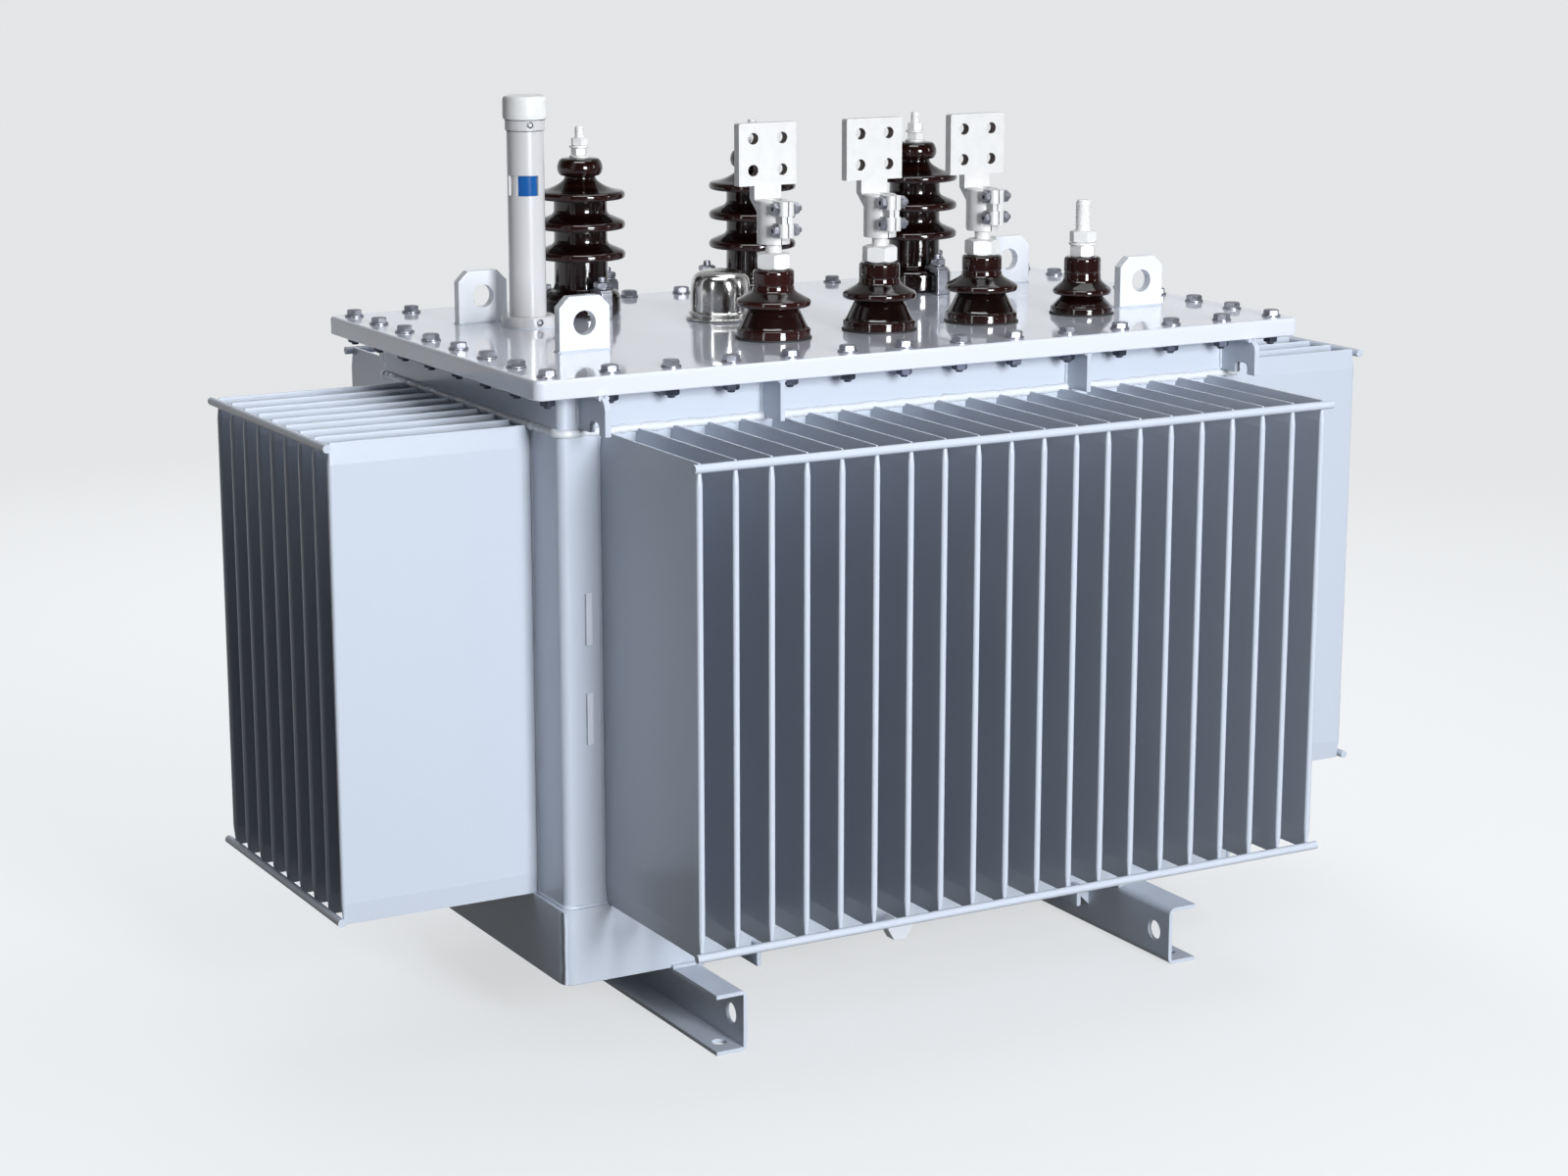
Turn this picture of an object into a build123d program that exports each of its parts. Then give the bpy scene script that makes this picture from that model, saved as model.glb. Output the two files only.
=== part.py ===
from build123d import *
import os
from math import atan, cos, degrees, radians, sin, tan

# Oil-filled distribution transformer: a closed steel tank with corrugated cooling
# walls on two channel rails, and a bolted cover that carries the porcelain bushings.
# X runs along the long low-voltage front, Y towards the back, Z up from the ground.
# The origin is the middle of the footprint. All lengths are in millimetres.

# Tank
tank_length = 966.0
tank_depth = 520.0
tank_corner_round = 10.0
post_plate = 5.0
front_post_leg = 50.0
end_post_leg = 74.0
tray_plate = 6.0
tray_height = 93.0
wall_lap = 12.0
band_height = 49.0

# Corrugated walls
fin_pitch = 45.0
front_fin_depth = 238.0
end_fin_depth = 250.0
fin_height = 567.0
fin_thickness = 8.0
fold_round = 3.7
pinch_height = 25.0
pinched_thickness = 3.0
wall_sheet = 4.0
tie_rod_radius = 5.0
tie_rod_overhang = 6.0

# Rails
rail_height = 75.0
rail_flange = 41.0
rail_plate = 5.0
rail_bend_round = 9.0
rail_end_reach = 119.0
rail_web_inset = 177.0
tow_hole_radius = 13.0
tow_hole_inset = 32.0
foot_hole_radius = 9.0
foot_hole_inset = 30.0
foot_hole_from_web = 22.0
gusset_plate = 6.0
gusset_leg = 45.0
gusset_inset = 62.0
jacking_plate_inset = 71.0
jacking_plate_width = 6.0
jacking_plate_reach = 14.0
jacking_plate_depth = 60.0
jacking_plate_drop = 13.0
jacking_plate_rise = 16.0

# Cover, gasket and flange
cover_overhang = 52.0
cover_thickness = 8.0
cover_rim_thickness = 5.0
cover_edge_round = 4.0
cover_corner_round = 12.0
gasket_thickness = 4.0
flange_thickness = 11.0
rim_clearance = 1.0

# Hooks and stiffeners under the flange
hook_inset = 28.0
hook_plate = 8.0
hook_reach = 70.0
hook_height = 44.0
hook_corner_round = 14.0
hook_notch_width = 24.0
hook_notch_height = 14.0
hook_notch_round = 6.0
hook_prong = 16.0
stiffener_inset = 267.0
stiffener_plate = 6.0
stiffener_reach = 45.0

# Lifting lugs on the cover
front_cover_lug_end_inset = 81.5
back_cover_lug_end_inset = 89.5
front_cover_lug_shift = 15.5
back_cover_lug_shift = 2.5
front_cover_lug_inset = 136.0
back_cover_lug_inset = 104.0
cover_lug_width = 66.0
cover_lug_height = 66.0
cover_lug_plate = 14.0
cover_lug_hole_radius = 14.5
cover_lug_hole_height = 34.0
cover_lug_chamfer = 13.0

# High-voltage bushings
hv_row_margin = 143.5
hv_middle_x = 6.0
hv_inset = 90.0
hv_base_radius = 50.0
hv_base_height = 31.0
hv_core_radius = 34.0
hv_shed_radius = 57.0
hv_shed_count = 3
hv_shed_thickness = 9.0
hv_shed_slope_height = 13.0
hv_first_shed_height = 71.0
hv_shed_pitch = 38.0
hv_neck_radius = 19.0
hv_neck_height = 175.0
hv_head_radius = 29.0
hv_head_height = 24.0
hv_head_round = 9.0
hv_edge_round = 4.0
hv_stud_radius = 6.0
hv_stud_top = 238.0
hv_stud_chamfer = 1.5
hv_nut_width = 19.0
hv_nut_height = 10.0
hv_washer_radius = 13.0
hv_washer_thickness = 2.5
claw_count = 3
claw_first_turn = -90.0
claw_width = 16.0
claw_top_plate = 7.0
claw_finger = 11.0
claw_reach = 24.0
claw_foot = 5.0
claw_round = 3.0
claw_stud_radius = 5.0
claw_stud_height = 53.0
claw_nut_width = 19.0
claw_nut_height = 8.0

# Low-voltage bushings
lv_spacing = 150.0
lv_inset = 118.0
lv_count = 3
lv_stud_radius = 10.0
lv_stud_chamfer = 1.25
lv_base_radius = 45.0
lv_base_height = 13.0
lv_cone_height = 36.0
lv_cone_top_radius = 31.0
lv_waist_radius = 28.0
lv_shed_radius = 45.5
lv_shed_height = 40.0
lv_shed_thickness = 8.0
lv_neck_radius = 25.0
lv_neck_height = 60.0
lv_top_height = 84.0
lv_edge_round = 3.0
lv_nut_width = 38.0
lv_nut_height = 20.0
lv_stud_top = 166.0

# Neutral bushing
neutral_lv_spacing = 153.0
neutral_lug_spacing = 101.0
neutral_base_radius = 40.0
neutral_base_height = 10.0
neutral_cone_height = 23.0
neutral_cone_top_radius = 27.0
neutral_waist_radius = 25.0
neutral_shed_radius = 37.5
neutral_shed_height = 26.0
neutral_shed_thickness = 7.0
neutral_neck_radius = 23.5
neutral_neck_height = 44.0
neutral_top_height = 73.0
neutral_nut_width = 30.0
neutral_nut_height = 15.0
neutral_washer_radius = 18.0
neutral_washer_thickness = 3.0
neutral_stud_top = 145.0
neutral_stud_chamfer = 2.5

# Flag terminals
flag_width = 79.0
flag_height = 75.0
flag_plate = 12.0
flag_hole_radius = 7.0
flag_hole_spacing_across = 40.0
flag_hole_spacing_up = 38.0
flag_corner_round = 3.0
flag_set_back = 14.0
flag_neck_width = 37.0
flag_neck_height = 16.0
flag_neck_sweep = 18.0
flag_tail_width = 16.0
clamp_start = 115.0
clamp_height = 52.5
clamp_wall = 10.0
clamp_edge_round = 3.0
clamp_ear_width = 20.0
clamp_ear_reach = 37.0
clamp_ear_height = 17.0
clamp_ear_round = 6.0
clamp_ear_gap = 9.0
clamp_web_step = 3.0
clamp_slit = 1.5

# Level gauge
gauge_end_inset = 131.0
gauge_back_inset = 160.0
gauge_base_radius = 34.0
gauge_base_height = 14.0
gauge_base_chamfer = 2.0
gauge_tube_radius = 23.0
gauge_tube_wall = 3.0
gauge_tube_height = 242.0
gauge_collar_radius = 25.0
gauge_collar_height = 13.0
gauge_cap_radius = 27.5
gauge_cap_height = 29.0
gauge_cap_round = 3.0
gauge_window_low = 163.0
gauge_window_height = 25.0
gauge_window_sweep = 108.0
gauge_window_turn = -127.0
float_height = 60.0
float_low = 145.0

# Vent dome
dome_x = -112.0
dome_y = 40.0
dome_radius = 38.0
dome_height = 63.0
dome_lip_radius = 44.5
dome_lip_height = 6.0
dome_top_round = 24.0

# Drain valve
drain_x = -55.0
drain_height = 91.0
drain_pipe_radius = 11.0
drain_reach = 30.0
drain_cap_width = 30.0
drain_cap_length = 18.0

# Clearances
seat_gap = 0.3
overrun = 2.0

# Levels and places that follow from the sizes above
tray_top = rail_height + tray_height
fin_top = tray_top + fin_height
band_top = fin_top + band_height
flange_top = band_top + flange_thickness
gasket_top = flange_top + gasket_thickness
cover_top = gasket_top + cover_thickness
wall_low = tray_top - wall_lap
inner_length = tank_length - 2 * post_plate
inner_depth = tank_depth - 2 * post_plate
inner_corner_round = tank_corner_round - post_plate
pinch_angle = atan((fin_thickness - pinched_thickness) / 2 / pinch_height)
front_panel_width = tank_length - 2 * front_post_leg
end_panel_width = tank_depth - 2 * end_post_leg
front_fin_count = 1 + int((front_panel_width - fin_thickness) // fin_pitch)
end_fin_count = 1 + int((end_panel_width - fin_thickness) // fin_pitch)
rail_length = tank_depth + 2 * rail_end_reach
rail_web_spacing = tank_length - 2 * rail_web_inset
jacking_plate_spacing = rail_web_spacing - 2 * jacking_plate_inset
hook_spacing = tank_length - 2 * hook_inset
stiffener_spacing = tank_length - 2 * stiffener_inset
front_cover_lug_spacing = tank_length - 2 * front_cover_lug_end_inset
back_cover_lug_spacing = tank_length - 2 * back_cover_lug_end_inset
front_cover_lug_y = front_cover_lug_inset - tank_depth / 2
back_cover_lug_y = tank_depth / 2 - back_cover_lug_inset
hv_y = tank_depth / 2 - hv_inset
lv_y = lv_inset - tank_depth / 2
front_right_lug_x = front_cover_lug_spacing / 2 + front_cover_lug_shift
hv_spacing = back_cover_lug_spacing / 2 - hv_row_margin
neutral_x = front_right_lug_x - neutral_lug_spacing
lv_first_x = neutral_x - neutral_lv_spacing - lv_spacing * (lv_count - 1)
gauge_x = gauge_end_inset - tank_length / 2
gauge_y = tank_depth / 2 - gauge_back_inset
cover_length = tank_length + 2 * cover_overhang
cover_depth = tank_depth + 2 * cover_overhang
flange_length = cover_length - 2 * (cover_rim_thickness + rim_clearance)
flange_depth = cover_depth - 2 * (cover_rim_thickness + rim_clearance)
lv_places = [(lv_first_x + lv_spacing * step, lv_y) for step in range(lv_count)]
hv_places = [(hv_middle_x + hv_spacing * step, hv_y) for step in (-1, 0, 1)]

os.makedirs("parts", exist_ok=True)


def save(piece, label):
    """Names a finished piece and writes it."""
    piece.part.label = label
    export_step(piece.part, f"parts/{label}.step")


def upright_plane(x, y, height):
    """An upright plane: local X along the row's X, local Y upwards."""
    return Plane(origin=(x, y, height), x_dir=(1, 0, 0), z_dir=(0, -1, 0))


def upright_axis(x, y):
    return Axis((x, y, 0), (0, 0, 1))


def side_plane(turn, distance, height):
    """A level plane on a side of the tank: local X along the side, local Y outwards."""
    angle = radians(turn)
    origin = (-sin(angle) * distance, cos(angle) * distance, height)
    return Plane(origin=origin, x_dir=(cos(angle), sin(angle), 0), z_dir=(0, 0, 1))


# Tank
def make_tray():
    """The bottom tray: a floor with four upstanding sides that lap the walls."""
    outer_length = tank_length + 2 * tray_plate
    outer_depth = tank_depth + 2 * tray_plate
    with BuildPart() as tray:
        with BuildSketch(Plane.XY.offset(rail_height)):
            RectangleRounded(outer_length, outer_depth, tank_corner_round + tray_plate)
        extrude(amount=tray_height)
        with BuildSketch(Plane.XY.offset(rail_height + tray_plate)):
            RectangleRounded(tank_length, tank_depth, tank_corner_round)
        extrude(amount=tray_height, mode=Mode.SUBTRACT)
    save(tray, "tank_tray")


def make_corner_posts():
    """Four bent corner plates that stand in the tray between the corrugated walls."""
    with BuildPart() as posts:
        with BuildSketch(Plane.XY.offset(wall_low)):
            RectangleRounded(tank_length, tank_depth, tank_corner_round)
            RectangleRounded(inner_length, inner_depth, inner_corner_round, mode=Mode.SUBTRACT)
            Rectangle(front_panel_width, tank_depth + overrun, mode=Mode.SUBTRACT)
            Rectangle(tank_length + overrun, end_panel_width, mode=Mode.SUBTRACT)
        extrude(amount=fin_top - wall_low)
    save(posts, "corner_posts")


def make_upper_band():
    """The plain band between the fins and the flange."""
    with BuildPart() as band:
        with BuildSketch(Plane.XY.offset(fin_top)):
            RectangleRounded(tank_length, tank_depth, tank_corner_round)
            RectangleRounded(inner_length, inner_depth, inner_corner_round, mode=Mode.SUBTRACT)
        extrude(amount=band_height)
    save(band, "upper_band")


def make_core_and_oil():
    """One solid for the oil, core and windings that fill the closed tank."""
    floor = rail_height + tray_plate
    filling_length = inner_length - 2 * seat_gap
    filling_depth = inner_depth - 2 * seat_gap
    with BuildPart() as filling:
        with BuildSketch(Plane.XY.offset(floor)):
            RectangleRounded(filling_length, filling_depth, inner_corner_round)
        extrude(amount=gasket_top - floor)
    save(filling, "core_and_oil")


def make_corrugated_wall(label, turn, distance, panel_width, fin_count, fin_depth):
    """A wall sheet folded into deep fins whose upper and lower ends are pinched shut."""
    straight_height = fin_height - 2 * pinch_height
    blade_middle = (fin_depth - wall_sheet) / 2

    with BuildPart() as wall:
        with BuildSketch(side_plane(turn, distance, wall_low)):
            Rectangle(panel_width, wall_sheet, align=(Align.CENTER, Align.MAX))
        extrude(amount=fin_top - wall_low)
        for level, amount, taper in (
            (tray_top + pinch_height, straight_height, 0),
            (fin_top - pinch_height, pinch_height, degrees(pinch_angle)),
            (tray_top + pinch_height, -pinch_height, degrees(pinch_angle)),
        ):
            with BuildSketch(side_plane(turn, distance, level)):
                with Locations((0, blade_middle)):
                    with GridLocations(fin_pitch, 0, fin_count, 1):
                        Rectangle(fin_thickness, fin_depth + wall_sheet)
                fillet(vertices().group_by(Axis.Y)[-1], radius=fold_round)
            extrude(amount=amount, taper=taper)
    save(wall, label)


def make_tie_rods(label, turn, distance, fin_count, fin_depth):
    """Two round rods across the outer edges of the fins, near their ends."""
    rod_length = fin_pitch * (fin_count - 1) + fin_thickness + 2 * tie_rod_overhang
    fin_edge = fin_depth - (pinch_height - tie_rod_radius) * tan(pinch_angle)
    rod_line = fin_edge + (tie_rod_radius + seat_gap) / cos(pinch_angle)
    with BuildPart() as rods:
        for level in (tray_top + tie_rod_radius, fin_top - tie_rod_radius):
            line = side_plane(turn, distance + rod_line, level)
            with BuildSketch(Plane(origin=line.origin, x_dir=line.y_dir, z_dir=line.x_dir)):
                Circle(tie_rod_radius)
            extrude(amount=rod_length / 2, both=True)
    save(rods, label)


# Rails
def make_rail(label, side):
    """A bent channel across the tank's depth, its web towards the middle."""
    web_face = side * rail_web_spacing / 2
    tow_hole_spacing = rail_length - 2 * tow_hole_inset
    foot_hole_spacing = rail_length - 2 * foot_hole_inset
    section_plane = Plane(origin=(web_face, 0, 0), x_dir=(side, 0, 0), z_dir=(0, -side, 0))
    web_plane = Plane(origin=(web_face, 0, rail_height / 2), x_dir=(0, 1, 0), z_dir=(side, 0, 0))
    with BuildPart() as rail:
        with BuildSketch(section_plane):
            Rectangle(rail_flange, rail_height, align=(Align.MIN, Align.MIN))
            with Locations((rail_plate, rail_plate)):
                Rectangle(
                    rail_flange,
                    rail_height - 2 * rail_plate,
                    align=(Align.MIN, Align.MIN),
                    mode=Mode.SUBTRACT,
                )
            fillet(vertices().group_by(Axis.X)[0], radius=rail_bend_round)
        extrude(amount=rail_length / 2, both=True)
        with BuildSketch(web_plane):
            with GridLocations(tow_hole_spacing, 0, 2, 1):
                Circle(tow_hole_radius)
        extrude(amount=rail_plate + overrun, both=True, mode=Mode.SUBTRACT)
        with BuildSketch(Plane.XY):
            with Locations((web_face + side * foot_hole_from_web, 0)):
                with GridLocations(0, foot_hole_spacing, 1, 2):
                    Circle(foot_hole_radius)
        extrude(amount=rail_plate + overrun, both=True, mode=Mode.SUBTRACT)
    save(rail, label)


def make_gussets():
    """Triangular plates that brace the inner face of each rail's web to the tray."""
    with BuildPart() as gussets:
        for side in (-1, 1):
            web_face = side * rail_web_spacing / 2
            for end in (-1, 1):
                place = end * (tank_depth / 2 - gusset_inset)
                with BuildSketch(upright_plane(0, place, 0)):
                    Polygon(
                        (web_face, rail_height),
                        (web_face - side * gusset_leg, rail_height),
                        (web_face, rail_height - gusset_leg),
                        align=None,
                    )
                extrude(amount=gusset_plate / 2, both=True)
    save(gussets, "rail_gussets")


def make_jacking_plates():
    """Small upright plates that hook round the tray's lower edges, for a jack to bear on."""
    face = tank_depth / 2 + tray_plate
    with BuildPart() as plates:
        for side in (-1, 1):
            for end in (-1, 1):
                corner = Plane(
                    origin=(side * jacking_plate_spacing / 2, end * face, rail_height),
                    x_dir=(0, end, 0),
                    z_dir=(end, 0, 0),
                )
                with BuildSketch(corner):
                    Polygon(
                        (0, 0),
                        (0, jacking_plate_rise),
                        (jacking_plate_reach, jacking_plate_rise),
                        (jacking_plate_reach, -jacking_plate_drop),
                        (-jacking_plate_depth, -jacking_plate_drop),
                        (-jacking_plate_depth, 0),
                        align=None,
                    )
                extrude(amount=jacking_plate_width / 2, both=True)
    save(plates, "jacking_plates")


# Under the flange
def make_hooks():
    """Four lifting hooks: plates with a notch that a sling's ring sits in from below."""
    with BuildPart() as hooks:
        for side in (-1, 1):
            for end in (-1, 1):
                corner = Plane(
                    origin=(side * hook_spacing / 2, end * tank_depth / 2, band_top),
                    x_dir=(0, end, 0),
                    z_dir=(end, 0, 0),
                )
                with BuildSketch(corner):
                    Rectangle(hook_reach, hook_height, align=(Align.MIN, Align.MAX))
                    fillet(
                        vertices().group_by(Axis.X)[-1].sort_by(Axis.Y)[-1],
                        radius=hook_corner_round,
                    )
                    with Locations((hook_reach - hook_prong, -hook_height)):
                        Rectangle(
                            hook_notch_width,
                            2 * hook_notch_height,
                            align=(Align.MAX, Align.CENTER),
                            mode=Mode.SUBTRACT,
                        )
                    fillet(vertices().group_by(Axis.Y)[1], radius=hook_notch_round)
                extrude(amount=hook_plate / 2, both=True)
    save(hooks, "lifting_hooks")


def make_stiffeners():
    """Short upright plates between the wall and the flange, two on each long side."""
    with BuildPart() as stiffeners:
        for side in (-1, 1):
            for end in (-1, 1):
                place = (side * stiffener_spacing / 2, end * (tank_depth + stiffener_reach) / 2)
                with BuildSketch(Plane.XY.offset(fin_top)):
                    with Locations(place):
                        Rectangle(stiffener_plate, stiffener_reach)
                extrude(amount=band_height)
    save(stiffeners, "band_stiffeners")


# Cover, gasket and flange
def make_ring(label, level, thickness):
    """A flat ring round the tank's mouth, within the cover's rim."""
    with BuildPart() as ring:
        with BuildSketch(Plane.XY.offset(level)):
            RectangleRounded(flange_length, flange_depth, cover_corner_round - cover_rim_thickness)
            RectangleRounded(inner_length, inner_depth, inner_corner_round, mode=Mode.SUBTRACT)
        extrude(amount=thickness)
    save(ring, label)


def make_cover():
    """The cover plate with a turned-down rim that hides the gasket and the flange."""
    cavity_length = cover_length - 2 * cover_rim_thickness
    cavity_depth = cover_depth - 2 * cover_rim_thickness
    with BuildPart() as cover:
        with BuildSketch(Plane.XY.offset(band_top)):
            RectangleRounded(cover_length, cover_depth, cover_corner_round)
        extrude(amount=cover_top - band_top)
        fillet(faces().sort_by(Axis.Z)[-1].edges(), radius=cover_edge_round)
        with BuildSketch(Plane.XY.offset(band_top)):
            RectangleRounded(cavity_length, cavity_depth, cover_corner_round - cover_rim_thickness)
        extrude(amount=gasket_top - band_top, mode=Mode.SUBTRACT)
    save(cover, "cover")


def make_cover_lug(label, x, y):
    """An upright lifting plate with chamfered shoulders and one round eye."""
    with BuildPart() as lug:
        with BuildSketch(upright_plane(x, y, cover_top)):
            Rectangle(cover_lug_width, cover_lug_height, align=(Align.CENTER, Align.MIN))
            chamfer(vertices().group_by(Axis.Y)[-1], length=cover_lug_chamfer)
            with Locations((0, cover_lug_hole_height)):
                Circle(cover_lug_hole_radius, mode=Mode.SUBTRACT)
        extrude(amount=cover_lug_plate / 2, both=True)
    save(lug, label)


# High-voltage bushings
def make_hv_porcelain(label, x, y):
    """A glazed body: broad base, plain barrel, three sheds, and a beaded head."""
    outline = [
        (0, 0),
        (hv_base_radius, 0),
        (hv_base_radius, hv_base_height - hv_edge_round),
        (hv_core_radius, hv_base_height),
    ]
    for step in range(hv_shed_count):
        shed_low = hv_first_shed_height + step * hv_shed_pitch
        shed_high = shed_low + hv_shed_thickness
        is_last = step == hv_shed_count - 1
        outline += [
            (hv_core_radius, shed_low),
            (hv_shed_radius, shed_low),
            (hv_shed_radius, shed_high),
            (hv_neck_radius, hv_neck_height)
            if is_last
            else (hv_core_radius, shed_high + hv_shed_slope_height),
        ]
    head_top = hv_neck_height + hv_head_height
    outline += [
        (hv_head_radius, hv_neck_height),
        (hv_head_radius, head_top),
        (0, head_top),
    ]
    with BuildPart() as porcelain:
        with BuildSketch(upright_plane(x, y, cover_top)):
            Polygon(*outline, align=None)
            fillet(vertices().group_by(Axis.X)[-1], radius=hv_edge_round)
            head_corners = [corner for corner in vertices() if corner.X == hv_head_radius]
            fillet(head_corners, radius=hv_head_round)
        revolve(axis=upright_axis(x, y))
    save(porcelain, label)


def make_hv_terminals():
    """Studs with a washer under each of two nuts, on the high-voltage bushings."""
    seat = cover_top + hv_neck_height + hv_head_height
    nut_step = hv_washer_thickness + hv_nut_height
    with BuildPart() as terminal:
        Cylinder(
            hv_stud_radius,
            hv_stud_top - hv_neck_height - hv_head_height,
            align=(Align.CENTER, Align.CENTER, Align.MIN),
        )
        chamfer(faces().sort_by(Axis.Z)[-1].edges(), length=hv_stud_chamfer)
        for level in (0, nut_step):
            with BuildSketch(Plane.XY.offset(level)):
                Circle(hv_washer_radius)
            extrude(amount=hv_washer_thickness)
            with BuildSketch(Plane.XY.offset(level + hv_washer_thickness)):
                RegularPolygon(hv_nut_width / 2, 6, major_radius=False)
            extrude(amount=hv_nut_height)
    with BuildPart() as terminals:
        with Locations([(x, y, seat) for x, y in hv_places]):
            add(terminal.part)
    save(terminals, "hv_terminals")


def make_hv_clamps():
    """Claws round each high-voltage base, each drawn down on the porcelain by a stud and nut."""
    inner = hv_base_radius + seat_gap
    outer = inner + claw_reach
    finger_low = hv_base_height + seat_gap
    claw_top = finger_low + claw_top_plate
    stud_place = inner + (claw_reach - claw_foot) / 2
    with BuildPart() as claw:
        with BuildSketch(Plane.XZ):
            Polygon(
                (inner - claw_finger, finger_low),
                (outer - claw_foot, finger_low),
                (outer - claw_foot, 0),
                (outer, 0),
                (outer, claw_top),
                (inner - claw_finger, claw_top),
                align=None,
            )
            fillet(vertices().group_by(Axis.X)[-1].sort_by(Axis.Y)[-1], radius=claw_round)
        extrude(amount=claw_width / 2, both=True)
        with BuildSketch(Plane.XY):
            with Locations((stud_place, 0)):
                Circle(claw_stud_radius)
        extrude(amount=claw_stud_height)
        with BuildSketch(Plane.XY.offset(claw_top)):
            with Locations((stud_place, 0)):
                RegularPolygon(claw_nut_width / 2, 6, major_radius=False)
        extrude(amount=claw_nut_height)
    with BuildPart() as clamps:
        with Locations([(x, y, cover_top) for x, y in hv_places]):
            with PolarLocations(0, claw_count, start_angle=claw_first_turn):
                add(claw.part)
    save(clamps, "hv_clamps")


# Low-voltage and neutral bushings
def make_lv_porcelain(label, x, y, outline, shed_radius):
    """A short glazed body: flared base, one shed and a plain neck."""
    with BuildPart() as porcelain:
        with BuildSketch(upright_plane(x, y, cover_top)):
            Polygon(*outline, align=None)
            shed_corners = [corner for corner in vertices() if corner.X == shed_radius]
            fillet(shed_corners, radius=lv_edge_round)
        revolve(axis=upright_axis(x, y))
    save(porcelain, label)


def lv_outline():
    return [
        (0, 0),
        (lv_base_radius, 0),
        (lv_base_radius, lv_base_height),
        (lv_cone_top_radius, lv_cone_height),
        (lv_waist_radius, lv_shed_height),
        (lv_shed_radius, lv_shed_height),
        (lv_shed_radius, lv_shed_height + lv_shed_thickness),
        (lv_neck_radius, lv_neck_height),
        (lv_neck_radius, lv_top_height),
        (0, lv_top_height),
    ]


def neutral_outline():
    return [
        (0, 0),
        (neutral_base_radius, 0),
        (neutral_base_radius, neutral_base_height),
        (neutral_cone_top_radius, neutral_cone_height),
        (neutral_waist_radius, neutral_shed_height),
        (neutral_shed_radius, neutral_shed_height),
        (neutral_shed_radius, neutral_shed_height + neutral_shed_thickness),
        (neutral_neck_radius, neutral_neck_height),
        (neutral_neck_radius, neutral_top_height),
        (0, neutral_top_height),
    ]


def make_lv_stud(label, x, y):
    """A plain round stud with its large hexagon nut."""
    seat = cover_top + lv_top_height
    with BuildPart() as stud:
        with BuildSketch(Plane.XY.offset(seat)):
            with Locations((x, y)):
                RegularPolygon(lv_nut_width / 2, 6, major_radius=False)
        extrude(amount=lv_nut_height)
        with BuildSketch(Plane.XY.offset(seat)):
            with Locations((x, y)):
                Circle(lv_stud_radius)
        extrude(amount=lv_stud_top - lv_top_height)
        chamfer(faces().sort_by(Axis.Z)[-1].edges(), length=lv_stud_chamfer)
    save(stud, label)


def make_neutral_stud():
    """The neutral's stud with two nuts and a washer between them."""
    seat = cover_top + neutral_top_height
    with BuildPart() as stud:
        with BuildSketch(Plane.XY.offset(seat)):
            with Locations((neutral_x, lv_y)):
                Circle(lv_stud_radius)
        extrude(amount=neutral_stud_top - neutral_top_height)
        chamfer(faces().sort_by(Axis.Z)[-1].edges(), length=neutral_stud_chamfer)
        with BuildSketch(Plane.XY.offset(seat)):
            with Locations((neutral_x, lv_y)):
                RegularPolygon(neutral_nut_width / 2, 6, major_radius=False)
        extrude(amount=2 * neutral_nut_height + neutral_washer_thickness)
        with BuildSketch(Plane.XY.offset(seat + neutral_nut_height)):
            with Locations((neutral_x, lv_y)):
                Circle(neutral_washer_radius)
        extrude(amount=neutral_washer_thickness)
    save(stud, "neutral_stud")


def clamp_barrel(x, y):
    """The split barrel that grips a stud, with two ears for its bolts and a web between them."""
    start = cover_top + clamp_start
    upper_ear = start + clamp_height - clamp_ear_height
    lower_ear = upper_ear - clamp_ear_gap - clamp_ear_height
    with BuildPart() as barrel:
        with BuildSketch(Plane.XY.offset(start)):
            with Locations((x, y)):
                Circle(lv_stud_radius + clamp_wall)
        extrude(amount=clamp_height)
        fillet(faces().sort_by(Axis.Z)[-1].edges(), radius=clamp_edge_round)
        for level in (lower_ear, upper_ear):
            with BuildSketch(Plane.XY.offset(level)):
                with Locations((x, y)):
                    Rectangle(clamp_ear_width, clamp_ear_reach, align=(Align.CENTER, Align.MAX))
                fillet(vertices().group_by(Axis.Y)[0], radius=clamp_ear_round)
            extrude(amount=clamp_ear_height)
        with BuildSketch(Plane.XY.offset(lower_ear + clamp_ear_height)):
            with Locations((x, y)):
                Rectangle(
                    clamp_ear_width - 2 * clamp_web_step,
                    clamp_ear_reach - clamp_web_step,
                    align=(Align.CENTER, Align.MAX),
                )
        extrude(amount=clamp_ear_gap)
    return barrel.part


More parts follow.
